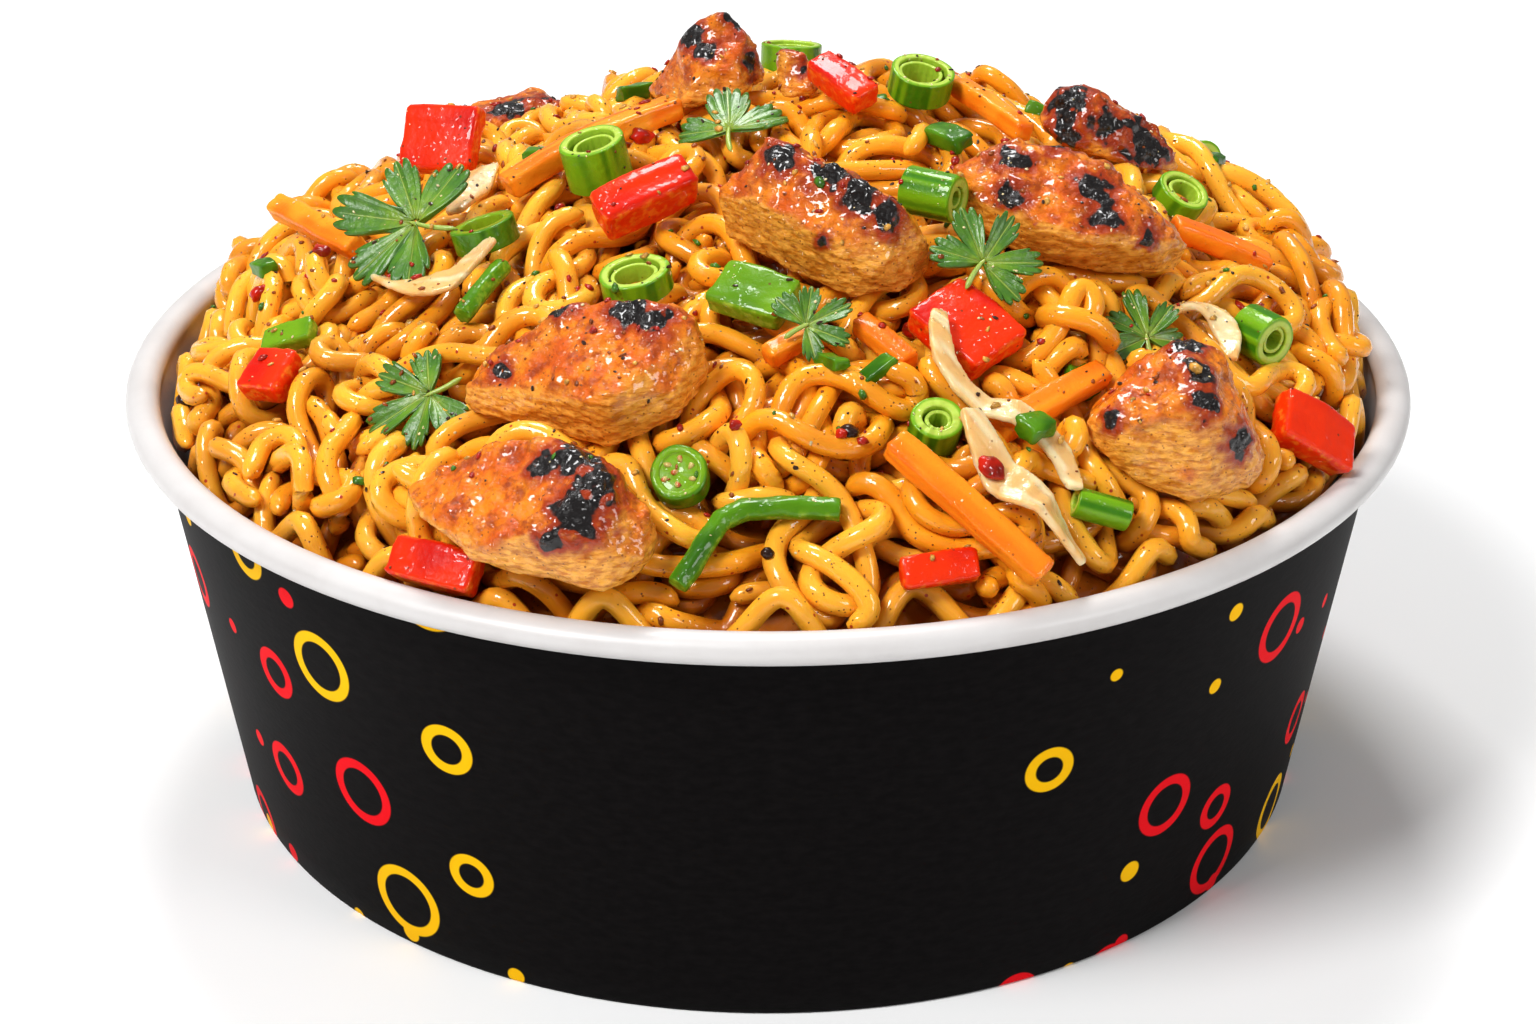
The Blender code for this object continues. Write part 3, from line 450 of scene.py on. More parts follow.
def node_triangles(name):
    """Corner points in mm and triangles of one solid of the frame, with its doubles merged."""
    mesh = NODES[name].data
    points = np.empty(len(mesh.vertices) * 3, np.float32)
    mesh.vertices.foreach_get("co", points)
    points = points.reshape(-1, 3).astype(float) / MM
    mesh.calc_loop_triangles()
    corners = np.empty(len(mesh.loop_triangles) * 3, np.int32)
    mesh.loop_triangles.foreach_get("vertices", corners)
    unique, index = np.unique(points.round(3), axis=0, return_inverse=True)
    return unique, index.ravel()[corners].reshape(-1, 3)


def clearance_grid(names):
    """Signed distance from each grid point to the nearest face: positive outside, negative inside."""
    points, triangles, start = [], [], 0
    for name in names:
        node_points, node_faces = node_triangles(name)
        points.append(node_points)
        triangles.append(node_faces + start)
        start += len(node_points)
    tree = BVHTree.FromPolygons(np.concatenate(points).tolist(), np.concatenate(triangles).tolist())
    axes = [GRID_LOW[k] + GRID_STEP * np.arange(GRID_SIZE[k]) for k in range(3)]
    grid = np.stack(np.meshgrid(*axes, indexing="ij"), -1).reshape(-1, 3)
    near = heap_height(grid[:, 0], grid[:, 1]) - GRID_DEPTH < grid[:, 2]
    distance = np.full(len(grid), GRID_REACH)
    found = [(number, tree.find_nearest(Vector(grid[number]), GRID_REACH)) for number in np.flatnonzero(near)]
    for number, (place, normal, face, length) in found:
        if place is not None:
            inside = (Vector(grid[number]) - place).dot(normal) < 0
            distance[number] = -length if inside else length
    return distance.reshape(GRID_SIZE)


def cleared_above(clearance):
    """Each layer of the grid takes the lower of itself and the layer below, moved one step to the front.

    So the space over and just before a topping counts as taken, and no strand hides it."""
    for level in range(1, clearance.shape[2]):
        below = np.roll(clearance[:, :, level - 1], -1, axis=1)
        below = np.minimum(below, clearance[:, :, level - 1])
        clearance[:, :, level] = np.minimum(clearance[:, :, level], below)
    return clearance


clearance = cleared_above(clearance_grid(TOPPINGS))
slope = np.stack(np.gradient(clearance, GRID_STEP), -1)


def clear_of_toppings(points):
    """Distance to the toppings at each point, blended between eight grid points, and the way out."""
    place = np.clip((points - GRID_LOW) / GRID_STEP, 0, np.array(GRID_SIZE) - 1.001)
    low = place.astype(int)
    part = place - low
    distance, out = np.zeros(len(points)), np.zeros((len(points), 3))
    for corner in np.ndindex(2, 2, 2):
        share = np.prod(np.where(corner, part, 1 - part), axis=1)
        index = tuple((low + corner).T)
        distance += share * clearance[index]
        out += share[:, None] * slope[index]
    return distance, out / np.maximum(np.linalg.norm(out, axis=1, keepdims=True), 1e-6)


print("grid of", clearance.size, "points,", int((clearance < 0).sum()), "inside the toppings")

# %% [markdown]
# ## Strands
# Curly noodles keep the wave of the press: each one swings left and right with loops about 4 mm
# in radius. A strand starts as a path whose heading swings like a sine along its length, laid at
# one of a few depths below the heap's surface. A flat map keeps count of how thickly each spot is
# covered, so every new strand goes where the layer is thinnest. All strands have the same number
# of points, so one array holds them all: strand, point, (x, y, z).

# %% Lay the strands
NOODLE_RADIUS = 1.45
POINT_STEP = 1.75
POINTS = 76
DEPTHS = (1.4, 4.8, 8.4)
LAYER_STRANDS = (56, 50, 44)
COVER_CELL, COVER_SIZE = 4.0, 44
SEED = 8
BED_DEPTH = 12.5
SWINGS, WAVES = (1.9, 2.7), (44, 62)
PATH_CHOICES = 30
PATH_REACH, OPEN_RADIUS = 84.5, 82
RIM_STRANDS, RIM_PATH_RADIUS = 11, 82.4


def wavy_paths(rng, starts, swings, waves):
    """Paths whose heading is start + swing * sin(2 pi s / wave + phase) + drift, stepped evenly along s."""
    count = len(starts)
    s = POINT_STEP * np.arange(POINTS)
    phase = rng.uniform(0, 2 * np.pi, (count, 1))
    heading = rng.uniform(0, 2 * np.pi, (count, 1))
    heading = heading + swings[:, None] * np.sin(2 * np.pi * s / waves[:, None] + phase)
    heading += rng.uniform(-0.9, 0.9, (count, 1)) * s / 60
    heading += 0.5 * np.sin(2 * np.pi * s / 23.0 + rng.uniform(0, 2 * np.pi, (count, 1)))
    steps = POINT_STEP * np.stack([np.cos(heading), np.sin(heading)], -1)
    path = np.cumsum(steps, axis=1)
    path += (starts - path[:, POINTS // 2])[:, None]
    return path


def keep_inside(path, reach):
    """Bends the outer points of a flat path inwards: past 88 % of the reach the radius levels off."""
    radius = np.linalg.norm(path, axis=-1, keepdims=True)
    soft = 0.88 * reach
    past = np.maximum(radius - soft, 0)
    new = np.where(radius > soft, soft + (reach - soft) * np.tanh(past / (reach - soft) * 0.7), radius)
    return path * new / np.maximum(radius, 1e-6)


def at_depth(flat, depth):
    """Flat paths lifted to a depth below the heap's surface, as (strand, point, 3)."""
    height = heap_height(flat[..., 0], flat[..., 1]) - depth - NOODLE_RADIUS
    return np.concatenate([flat, height[..., None]], -1)


def cell_of(flat):
    """Row and column of each flat point on a square map of the bowl, in cells of COVER_CELL mm."""
    return tuple(np.clip((flat / COVER_CELL + COVER_SIZE / 2).astype(int), 0, COVER_SIZE - 1).T)


def barred_cells(depth):
    """1 for cells of the map outside the bowl or under a topping at this depth, 0 for open ones."""
    middle = (np.arange(COVER_SIZE) - COVER_SIZE / 2 + 0.5) * COVER_CELL
    x, y = np.meshgrid(middle, middle, indexing="ij")
    distance, _ = clear_of_toppings(at_depth(np.stack([x, y], -1), depth).reshape(-1, 3))
    return ((np.hypot(x, y) > OPEN_RADIUS) | (distance.reshape(x.shape) < 1.0)).astype(float)


def best_path(rng, start, depth, cover):
    """Of several curly paths through the start, the one that runs least over taken cells and toppings."""
    starts = np.repeat(start[None], PATH_CHOICES, 0)
    swings, waves = rng.uniform(*SWINGS, PATH_CHOICES), rng.uniform(*WAVES, PATH_CHOICES)
    path = wavy_paths(rng, starts, swings, waves)
    flat = keep_inside(path, PATH_REACH)
    distance, _ = clear_of_toppings(at_depth(flat, depth).reshape(-1, 3))
    cost = 0.8 * np.maximum(2.5 - distance, 0) + cover[cell_of(flat.reshape(-1, 2))]
    cost += 0.5 * np.maximum(np.linalg.norm(path, axis=-1).ravel() - 81, 0)
    return flat[cost.reshape(PATH_CHOICES, -1).sum(1).argmin()]


def lay_strands(rng):
    """All strands, as (strand, point, 3): each one starts where its layer is thinnest so far.

    A few more lie along the wall in small waves, so that the heap meets the paper all round."""
    cover, laid = np.zeros((COVER_SIZE, COVER_SIZE)), []
    s = np.arange(POINTS) * POINT_STEP
    for depth, count in zip(DEPTHS, LAYER_STRANDS):
        barred = barred_cells(depth)
        cover *= 0.6
        for _ in range(count):
            cell = (cover + 20 * barred + rng.uniform(0, 0.12, cover.shape)).argmin()
            corner = np.array(divmod(int(cell), COVER_SIZE)) - COVER_SIZE / 2
            flat = best_path(rng, (corner + rng.uniform(0.2, 0.8, 2)) * COVER_CELL, depth, cover)
            np.add.at(cover, cell_of(flat), POINT_STEP * 2 * NOODLE_RADIUS / COVER_CELL**2)
            lift = 2.0 * np.sin(2 * np.pi * s / 29 + rng.uniform(0, 6.28))
            laid.append(at_depth(flat, depth - lift))
    for number in range(RIM_STRANDS):
        turn = 2 * np.pi * (number + rng.uniform(-0.2, 0.2)) / RIM_STRANDS + 0.72 * s / RIM_PATH_RADIUS
        away = RIM_PATH_RADIUS + 2.7 * np.sin(2 * np.pi * s / rng.uniform(17, 24) + rng.uniform(0, 6.28))
        depth = 1.0 + 3.6 * (number % 2) - 1.6 * np.sin(2 * np.pi * s / 33 + rng.uniform(0, 6.28))
        laid.append(at_depth(np.stack([away * np.cos(turn), away * np.sin(turn)], -1), depth))
    print("cover of open cells: least", round(float(cover[barred == 0].min()), 2), "mean",
          round(float(cover[barred == 0].mean()), 2))
    return np.stack(laid)


strands = lay_strands(np.random.default_rng(SEED))
print(len(strands), "strands,", round(strands.shape[0] * POINTS * POINT_STEP / 1000, 1), "m of noodle")

# %% [markdown]
# ## Let them settle
# The strands are now let go. Each round moves every point a little way down, then mends four
# things: neighbours along a strand stay their distance apart and keep their curl, strands push
# each other out of the way, and all of them stay above the bed, inside the wall and out of the
# toppings. It is a simulation of many simple rules, all of them sums on whole arrays.

# %% Settle the strands
ROUNDS = 170
FALL = 0.07
CONTACT = 2 * NOODLE_RADIUS
HOLDS = ((8, 0.10), (4, 0.18), (2, 0.25))
EASE_STEPS = (0.6, -0.63)


def hold_spacing(strands, apart, rest, share):
    """Points that are some steps apart move along the line between them, back to their rest distance."""
    line = strands[:, apart:] - strands[:, :-apart]
    length = np.maximum(np.linalg.norm(line, axis=2), 1e-6)
    fix = line * ((length - rest) / length * share)[..., None]
    strands[:, :-apart] += fix
    strands[:, apart:] -= fix


def close_pairs(points, reach):
    """Pairs of points nearer than reach, found by cubes: each point looks in 14 of the 27 round it."""
    cube = np.floor((points - points.min(0)) / reach).astype(np.int64) + 1
    size = cube.max(0) + 2
    key = (cube[:, 0] * size[1] + cube[:, 1]) * size[2] + cube[:, 2]
    order = np.argsort(key, kind="stable")
    ordered = key[order]
    offsets = [o for o in np.ndindex(3, 3, 3) if o >= (1, 1, 1)]
    first, second = [], []
    for offset in offsets:
        step = ((offset[0] - 1) * size[1] + offset[1] - 1) * size[2] + offset[2] - 1
        low = np.searchsorted(ordered, key + step, "left")
        count = np.searchsorted(ordered, key + step, "right") - low
        a = np.repeat(np.arange(len(points)), count)
        place = np.arange(count.sum()) - np.repeat(np.cumsum(count) - count, count)
        b = order[np.repeat(low, count) + place]
        kept = (a < b) if step == 0 else np.ones(len(a), bool)
        first.append(a[kept])
        second.append(b[kept])
    a, b = np.concatenate(first), np.concatenate(second)
    near = np.linalg.norm(points[a] - points[b], axis=1) < reach
    same = a // POINTS == b // POINTS
    near &= ~(same & (np.abs(a - b) < 4))
    return a[near], b[near]


def push_apart(points, a, b):
    """Both points of a pair give way by 35 % of their overlap, summed over all pairs of a point."""
    line = points[a] - points[b]
    length = np.maximum(np.linalg.norm(line, axis=1), 1e-6)
    fix = line * (np.maximum(CONTACT - length, 0) / length * 0.35)[:, None]
    for axis in range(3):
        points[:, axis] += (np.bincount(a, fix[:, axis], len(points))
                            - np.bincount(b, fix[:, axis], len(points)))


def keep_in_place(points):
    """Points stay off the toppings, above the bed, near the heap's surface and inside the wall."""
    distance, out = clear_of_toppings(points)
    need = np.clip(NOODLE_RADIUS + 0.15 - distance, 0, 1.2)
    points += out * need[:, None]
    radius = np.hypot(points[:, 0], points[:, 1])
    reach = wall_inside(points[:, 2]) - NOODLE_RADIUS - 0.2
    points[:, :2] *= np.minimum(1, reach / np.maximum(radius, 1e-6))[:, None]
    surface = heap_height(points[:, 0], points[:, 1])
    points[:, 2] = np.maximum(points[:, 2], surface - BED_DEPTH + NOODLE_RADIUS)
    loose = 2.2 + 1.5 * np.sin(points[:, 0] / 8) * np.sin(points[:, 1] / 7)
    points[:, 2] -= 0.25 * np.maximum(points[:, 2] - surface - loose, 0)


def ease(strands, share):
    """Moves each point by a share of the way to the middle of its neighbours.

    A step of 0.6 and then one of -0.63 take out kinks of a few points and leave the curls as they are
    (Taubin)."""
    strands[:, 1:-1] += share * ((strands[:, 2:] + strands[:, :-2]) / 2 - strands[:, 1:-1])


def settle(strands, rounds):
    """Lets the strands down and keeps them apart, looking for new neighbours every fourth round.

    In the last quarter nothing falls any more, and at the end the small kinks are eased out."""
    rests = {apart: np.linalg.norm(strands[:, apart:] - strands[:, :-apart], axis=2) for apart, _ in HOLDS}
    points = strands.reshape(-1, 3)
    for turn in range(rounds):
        if turn % 4 == 0:
            a, b = close_pairs(points, CONTACT + 1.0)
        points[:, 2] -= FALL if turn < 0.75 * rounds else 0
        for _ in range(3):
            hold_spacing(strands, 1, POINT_STEP, 0.3)
        for apart, share in HOLDS:
            hold_spacing(strands, apart, rests[apart], share)
        push_apart(points, a, b)
        push_apart(points, a, b)
        keep_in_place(points)
    for share in EASE_STEPS * 4:
        ease(strands, share)
    keep_in_place(points)
    for share in EASE_STEPS * 3:
        ease(strands, share)
    a, b = close_pairs(points, CONTACT)
    depth = CONTACT - np.linalg.norm(points[a] - points[b], axis=1)
    bent = np.linalg.norm(strands[:, 2:] - strands[:, :-2], axis=2) < 0.7 * rests[2]
    print("kinked points", int(bent.sum()), "in", int(bent.any(1).sum()), "strands")
    print(len(a), "pairs still touch, deepest", round(float(depth.max()), 2), "mm, mean",
          round(float(depth.mean()), 2))
    return strands


strands = settle(strands, ROUNDS)

# %% Turn the strands into tubes
TUBE_SIDES = 8
TUBE_FINENESS = 2


def smoothed(strands, parts):
    """A curve through the points: each span is cut into parts, led by four points (Catmull-Rom)."""
    ends = 2 * strands[:, :1] - strands[:, 1:2], 2 * strands[:, -1:] - strands[:, -2:-1]
    padded = np.concatenate([ends[0], strands, ends[1]], 1)
    before, here, after, beyond = (padded[:, k:k + strands.shape[1] - 1, None] for k in range(4))
    t = (np.arange(parts) / parts)[None, None, :, None]
    spans = 0.5 * (2 * here + (after - before) * t + (2 * before - 5 * here + 4 * after - beyond) * t**2
                   + (3 * here - before - 3 * after + beyond) * t**3)
    return np.concatenate([spans.reshape(len(strands), -1, 3), strands[:, -1:]], 1)


def tubes(paths, radius, sides):
    """Rings of points round each path, across its tangent, closed by a rounded end of three smaller rings."""
    tangent = np.gradient(paths, axis=1)
    tangent /= np.linalg.norm(tangent, axis=2, keepdims=True)
    side = np.cross(tangent, (0, 0, 1.0))
    side /= np.maximum(np.linalg.norm(side, axis=2, keepdims=True), 0.05)
    up = np.cross(side, tangent)
    turn = 2 * np.pi * np.arange(sides) / sides
    ring = np.cos(turn)[:, None] * side[:, :, None] + np.sin(turn)[:, None] * up[:, :, None]
    scale = radius * np.ones(paths.shape[:2])
    for k, share in enumerate((0.25, 0.72, 0.94)):
        scale[:, k] *= share
        scale[:, -1 - k] *= share
    return paths[:, :, None] + ring * scale[..., None, None]


def tube_faces(count, rings, sides):
    """Quads between neighbouring rings of every tube, and a flat many-sided face over each small end."""
    number = np.arange(count * rings * sides).reshape(count, rings, sides)
    here, ahead = number[:, :-1], number[:, 1:]
    quads = np.stack([here, np.roll(here, -1, 2), np.roll(ahead, -1, 2), ahead], -1).reshape(-1, 4)
    return quads, np.concatenate([number[:, 0, ::-1], number[:, -1]])


def noodle_mesh(name, strands, shades):
    """Tubes through the strands; each strand's own shade and each point's depth are kept as attributes."""
    paths = smoothed(strands, TUBE_FINENESS)
    s = np.arange(paths.shape[1]) * POINT_STEP / TUBE_FINENESS
    thick = NOODLE_RADIUS * (1 + 0.05 * np.sin(s / 9 + 7 * shades[:, None]))
    points = tubes(paths, thick, TUBE_SIDES)
    mesh = make_mesh(name, points.reshape(-1, 3), *tube_faces(len(paths), paths.shape[1], TUBE_SIDES))
    depth = heap_height(points[..., 0], points[..., 1]) - points[..., 2]
    mesh.attributes.new("depth", "FLOAT", "POINT").data.foreach_set("value", depth.ravel().astype(np.float32))
    shade = np.broadcast_to(shades[:, None, None], points.shape[:3]).ravel().astype(np.float32)
    mesh.attributes.new("shade", "FLOAT", "POINT").data.foreach_set("value", shade)
    return mesh


shades = np.random.default_rng(SEED + 1).uniform(size=len(strands))

# %% [markdown]
# ## The bed below
# Between the strands one sees deeper strands lying in shade, and that shade is painted into the
# bed's colour. A low dome stands for the mass of noodles that fills the bowl: its surface carries
# the ridges of strands that lie packed in it.
# noodles that fills the bowl: its surface carries the ridges of strands that lie packed in it.

# %% The bed
BED_ROWS, BED_COLUMNS, BED_RADIUS = 150, 420, 83.5
PACKED_SPACING, PACKED_RELIEF = 7.4, 1.4


def dome(rows, columns, height, reach):
    """A round grid: ring k has radius reach * k / rows, and its height is a function of x and y."""
    radius = reach * np.arange(1, rows + 1)[:, None] / rows
    angle = 2 * np.pi * np.arange(columns)[None] / columns
    x, y = radius * np.cos(angle), radius * np.sin(angle)
    points = np.concatenate([np.stack([x, y, height(x, y)], -1).reshape(-1, 3),
                             [(0, 0, float(height(np.zeros(1), np.zeros(1))[0]))]])
    number = np.arange(rows * columns).reshape(rows, columns)
    here, out = number[:-1], number[1:]
    quads = np.stack([here, out, np.roll(out, -1, 1), np.roll(here, -1, 1)], -1).reshape(-1, 4)
    middle = np.stack([np.full(columns, rows * columns), number[0], np.roll(number[0], -1)], -1)
    return points, quads, middle, number[-1]


def bed_height(x, y):
    """The heap less the depth of the loose strands, with ridges of two crossing sets of packed ones."""
    warp = 3 * np.sin(x / 11 + 1.3 * np.sin(y / 9))
    one = np.abs(np.sin(np.pi * (x + warp) / PACKED_SPACING))
    other = np.abs(np.sin(np.pi * (y + 4 * np.sin(x / 13)) / PACKED_SPACING))
    return heap_height(x, y) - BED_DEPTH - 1.0 + PACKED_RELIEF * np.maximum(one, other)


points, quads, middle, edge = dome(BED_ROWS, BED_COLUMNS, bed_height, BED_RADIUS)
points[edge, :2] *= 0.99
under = len(points)
points = np.concatenate([points, points[edge] * (0.97, 0.97, 1) - (0, 0, 12)])
skirt = np.arange(under, len(points))
sides = np.stack([edge, skirt, np.roll(skirt, -1), np.roll(edge, -1)], -1)
bed_mesh = make_mesh("noodle_bed", points, quads, middle, sides, skirt[::-1][None])
print("bed of", len(bed_mesh.polygons), "faces")

# %% [markdown]
# ## Noodle finish
# Cooked noodles in a spiced oil are amber, a little see-through and wet. Colour comes from three
# sources: each strand's own tint, a painted shade that turns the strands darker amber the deeper
# they lie below the heap's surface, and fine brown and red specks of spice. Light that enters and
# leaves again (subsurface) softens the shade on the underside of each strand, and a thin glossy
# coat gives the many small highlights.

# %% Noodle finish
# The darkest amber is both the noodles' own tone in random patches and the painted shade of strands that lie deep
# in the heap.
NOODLE_PALE, NOODLE_GOLD, NOODLE_AMBER_AND_SHADE = (0.98, 0.48, 0.036), (0.92, 0.345, 0.010), (0.42, 0.095, 0.002)
SPICE_BROWN, SPICE_RED = (0.20, 0.06, 0.012), (0.42, 0.03, 0.01)


def noodle_finish(name, deep=False):
    """Amber noodle with spice specks, an oily coat and painted shade that darkens it in the depths."""
    paint = Paint(name, Roughness=0.42, Specular_IOR_Level=0.12, Coat_Weight=0.75, Coat_Roughness=0.03,
                  Subsurface_Weight=0.25, Subsurface_Scale=1.4 * MM, Subsurface_Radius=(1.0, 0.4, 0.08))
    patches = paint.noise(14, 3)
    own = NOODLE_GOLD if deep else paint.ramp(paint.value("shade"), (0.0, NOODLE_GOLD), (0.55, NOODLE_PALE),
                                              (1.0, NOODLE_GOLD))
    colour = paint.mix(paint.map(patches, 0.45, 0.72, 0, 0.5), own, NOODLE_AMBER_AND_SHADE)
    if deep:
        # Painted shade: the bed lies under the strands, so its colour is taken almost all the way to dark amber.
        colour = paint.mix(0.92, colour, NOODLE_AMBER_AND_SHADE)
    else:
        # Painted shade: each point turns darker amber the deeper it lies below the heap's surface.
        colour = paint.mix(paint.map(paint.value("depth"), 3.0, 10.5, 0, 0.95), colour, NOODLE_AMBER_AND_SHADE)
    fine = paint.map(paint.cells(0.9), 0.18, 0.09)
    near_spice = paint.map(paint.noise(6, 3), 0.32, 0.56)
    colour = paint.mix(paint.math("MULTIPLY", fine, near_spice), colour, SPICE_BROWN)
    paint.colour(paint.specks(colour, 2.6, 0.06, 0.12, 1, SPICE_RED))
    relief = paint.math("ADD", paint.math("MULTIPLY", paint.noise(1.1, 3), 0.6), paint.math("MULTIPLY", fine, 0.5))
    paint.bump(relief, 0.2, 0.8, paint.beads(1.25, 2.6), 0.13)
    return paint.material


# The bed's finish carries painted shade: it is coloured nearly all dark amber.
bed = add_object("noodle_bed", bed_mesh, noodle_finish("noodle_deep_shaded", deep=True))
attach(bed, "root")
strand_finish = noodle_finish("noodle_amber")
top = strands[..., 2].mean(1) - heap_height(strands[..., 0], strands[..., 1]).mean(1)
layers = np.array_split(np.argsort(top), 4)
for number, layer in enumerate(layers):
    name = f"noodle_strands_{number + 1}"
    piece = add_object(name, noodle_mesh(name, strands[layer], shades[layer]), strand_finish)
    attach(piece, "root")
    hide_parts("noodles")
    print(name, len(layer), "strands,", len(piece.data.polygons) * 2, "triangles")
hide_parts("noodles")

# %% [markdown]
# ## Fine copies of the solids
# The meat and the vegetables keep the shapes and places of their solids. Each solid is copied,
# its surface is remade in small even squares and relaxed a little, so that its cut corners go
# soft as they do in a hot pan. Relief is then added by moving points along their normals, by a
# smooth noise worked out for all points at once. A second copy, relaxed much longer, tells where
# the surface is convex: that is where the first copy stands proud of the second.

# %% Copy, noise and axes
LATTICE_SIZE = 48
LATTICE = np.random.default_rng(3).uniform(-1, 1, (LATTICE_SIZE,) * 3)


def fine_copy(name, square, relaxing):
    """The node's surface in squares of that many mm, relaxed that many times, as a new mesh."""
    points, triangles = node_triangles(name)
    rough = bpy.data.objects.new("fine_copy", make_mesh("fine_copy", points, triangles))
    bpy.context.scene.collection.objects.link(rough)
    squares = rough.modifiers.new("squares", "REMESH")
    squares.mode, squares.voxel_size = "VOXEL", square * MM
    relax = rough.modifiers.new("relax", "SMOOTH")
    relax.factor, relax.iterations = 0.5, relaxing
    evaluated = rough.evaluated_get(bpy.context.evaluated_depsgraph_get())
    mesh = bpy.data.meshes.new_from_object(evaluated)
    bpy.data.objects.remove(rough)
    mesh.polygons.foreach_set("use_smooth", np.ones(len(mesh.polygons), bool))
    return mesh


def points_of(mesh):
    """Points of a mesh in mm."""
    flat = np.empty(len(mesh.vertices) * 3, np.float32)
    mesh.vertices.foreach_get("co", flat)
    return flat.reshape(-1, 3).astype(float) / MM


def normals_of(mesh):
    """The way each point of a mesh faces."""
    flat = np.empty(len(mesh.vertices) * 3, np.float32)
    mesh.vertex_normals.foreach_get("vector", flat)
    return flat.reshape(-1, 3).astype(float)


def move_points(mesh, points):
    """Puts new points, in mm, into a mesh."""
    mesh.vertices.foreach_set("co", (points * MM).astype(np.float32).ravel())
    mesh.update()


def keep(mesh, **values):
    """Keeps one number for each point under each name, for the finish to read."""
    for name, value in values.items():
        mesh.attributes.new(name, "FLOAT", "POINT").data.foreach_set("value", np.asarray(value, np.float32))


def lumps(points, size, seed=0):
    """Smooth noise from -1 to 1: lattice numbers size mm apart, eight of them blended at each point."""
    place = points / size + 17.3 * seed + 100
    low = np.floor(place).astype(int)
    part = place - low
    part = part * part * (3 - 2 * part)
    total = np.zeros(len(points))
    for corner in np.ndindex(2, 2, 2):
        share = np.prod(np.where(corner, part, 1 - part), axis=1)
        total += share * LATTICE[tuple(((low + corner) % LATTICE_SIZE).T)]
    return total


def own_axes(points):
    """Middle of the points, and their long, middle and short directions as rows (principal axes)."""
    middle = (points.max(0) + points.min(0)) / 2
    _, ways = np.linalg.eigh(np.cov((points - points.mean(0)).T))
    return middle, ways[:, ::-1].T


def step(value, low, high):
    """0 below low, 1 above high, smooth between."""
    t = np.clip((value - low) / (high - low), 0, 1)
    return t * t * (3 - 2 * t)


print("tools for fine copies ready")

# %% [markdown]
# ## Grilled chicken
# Each cut of chicken has a glazed, blistered top that was against the grill, and pale sides where
# the knife went along the fibres. The char lies on the ridges and in a few larger patches. Their
# places are given here as points on the meat, and noise breaks their outlines.

# %% Char marks and meat
CHAR_MARKS = {
    "chicken_front": ((-23, -78, 80, 3.6), (-20, -82, 79, 4.2), (-22, -85, 76, 3.8), (-27, -78, 79, 2.2),
                      (-26, -87, 73, 1.8)),
    "chicken_left": ((-26, -52, 89, 2.2), (-17, -56, 90, 3.0), (-14, -59, 90, 2.4), (-34, -56, 82, 1.6),
                     (-36, -50, 84, 2.4)),
    "chicken_middle": ((1, -34, 103, 3.0), (8, -38, 102, 3.2), (12, -41, 100, 3.4), (15, -43, 98, 3.0),
                       (7, -43, 94, 1.2)),
    "chicken_right": ((32, -28, 100, 2.6), (32, -33, 97, 2.2), (43, -31, 97, 3.0), (44, -35, 95, 2.4),
                      (50, -34, 91, 1.8), (38, -24, 101, 2.6)),
    "chicken_side": ((53, -54, 85, 3.2), (54, -60, 83, 2.6), (54, -64, 81, 2.6), (59, -63, 75, 2.6),
                     (43, -63, 78, 1.8)),
    "chicken_top": ((-9, 14, 102, 2.0), (-11, 17, 103, 2.2), (-5, 18, 105, 2.6), (-2, 14, 100, 2.0)),
    "chicken_top_small": ((5, 9, 101, 1.6),),
    "chicken_far_right": ((43, 4, 98, 4.0), (42, 1, 95, 3.4), (48, 2, 95, 2.6), (53, 4, 92, 4.0), (56, 5, 90, 3.0)),
    "chicken_back": ((20, 70, 81, 4.0), (28, 68, 81, 3.0)),
    "chicken_back_left": ((-42, 58, 80, 4.0), (-36, 62, 78, 2.6)),
}
MEAT_SQUARE, MEAT_RELAXING, RIDGE_RELAXING = 0.42, 5, 60


def meat_piece(name):
    """Fine copy with blisters on the glazed top, fibres along the cut sides, and numbers for glaze and char."""
    mesh = fine_copy(name, MEAT_SQUARE, MEAT_RELAXING)
    soft = points_of(fine_copy(name, MEAT_SQUARE, RIDGE_RELAXING))
    points, normals = points_of(mesh), normals_of(mesh)
    middle, ways = own_axes(points)
    ridge = ((points - soft) * normals).sum(1)
    local = (points - middle) @ ways.T
    seed = len(name) + len(points) % 7
    glaze = step(normals[:, 2] + 0.35 * lumps(points, 4.0, seed), 0.12, 0.62)
    char = np.full(len(points), -1.0)
    for x, y, z, reach in CHAR_MARKS.get(name, ()):
        char = np.maximum(char, 1.25 - np.linalg.norm(points - (x, y, z), axis=1) / reach)
    ridge_char = step(ridge, 0.16, 0.42) * step(lumps(points, 5.5, seed + 3), 0.0, 0.5)
    ridge_char *= step(normals[:, 2], -0.1, 0.3)
    char = np.maximum(char, 1.7 * ridge_char - 1)
    broken = 0.45 * lumps(points, 1.3, seed + 1) + 0.25 * lumps(points, 0.7, seed + 2)
    char += broken * step(char, -0.9, 0.0)
    fibre = lumps(local / (6.0, 0.8, 1.0), 1.0, seed + 4)
    blister = np.maximum(lumps(points, 1.7, seed + 5), 0) ** 1.3 + 0.7 * lumps(points, 3.4, seed + 6)
    rise = 0.85 * glaze * blister + 0.24 * (1 - glaze) * fibre + 0.4 * lumps(points, 6.0, seed + 7) - 0.40
    rise += (0.16 + 0.25 * step(char, 0.35, 0.8)) * lumps(points, 0.95, seed + 8)
    move_points(mesh, points + normals * np.minimum(rise, 0.3)[:, None])
    keep(mesh, glaze=glaze, char=char, fibre=fibre)
    return mesh


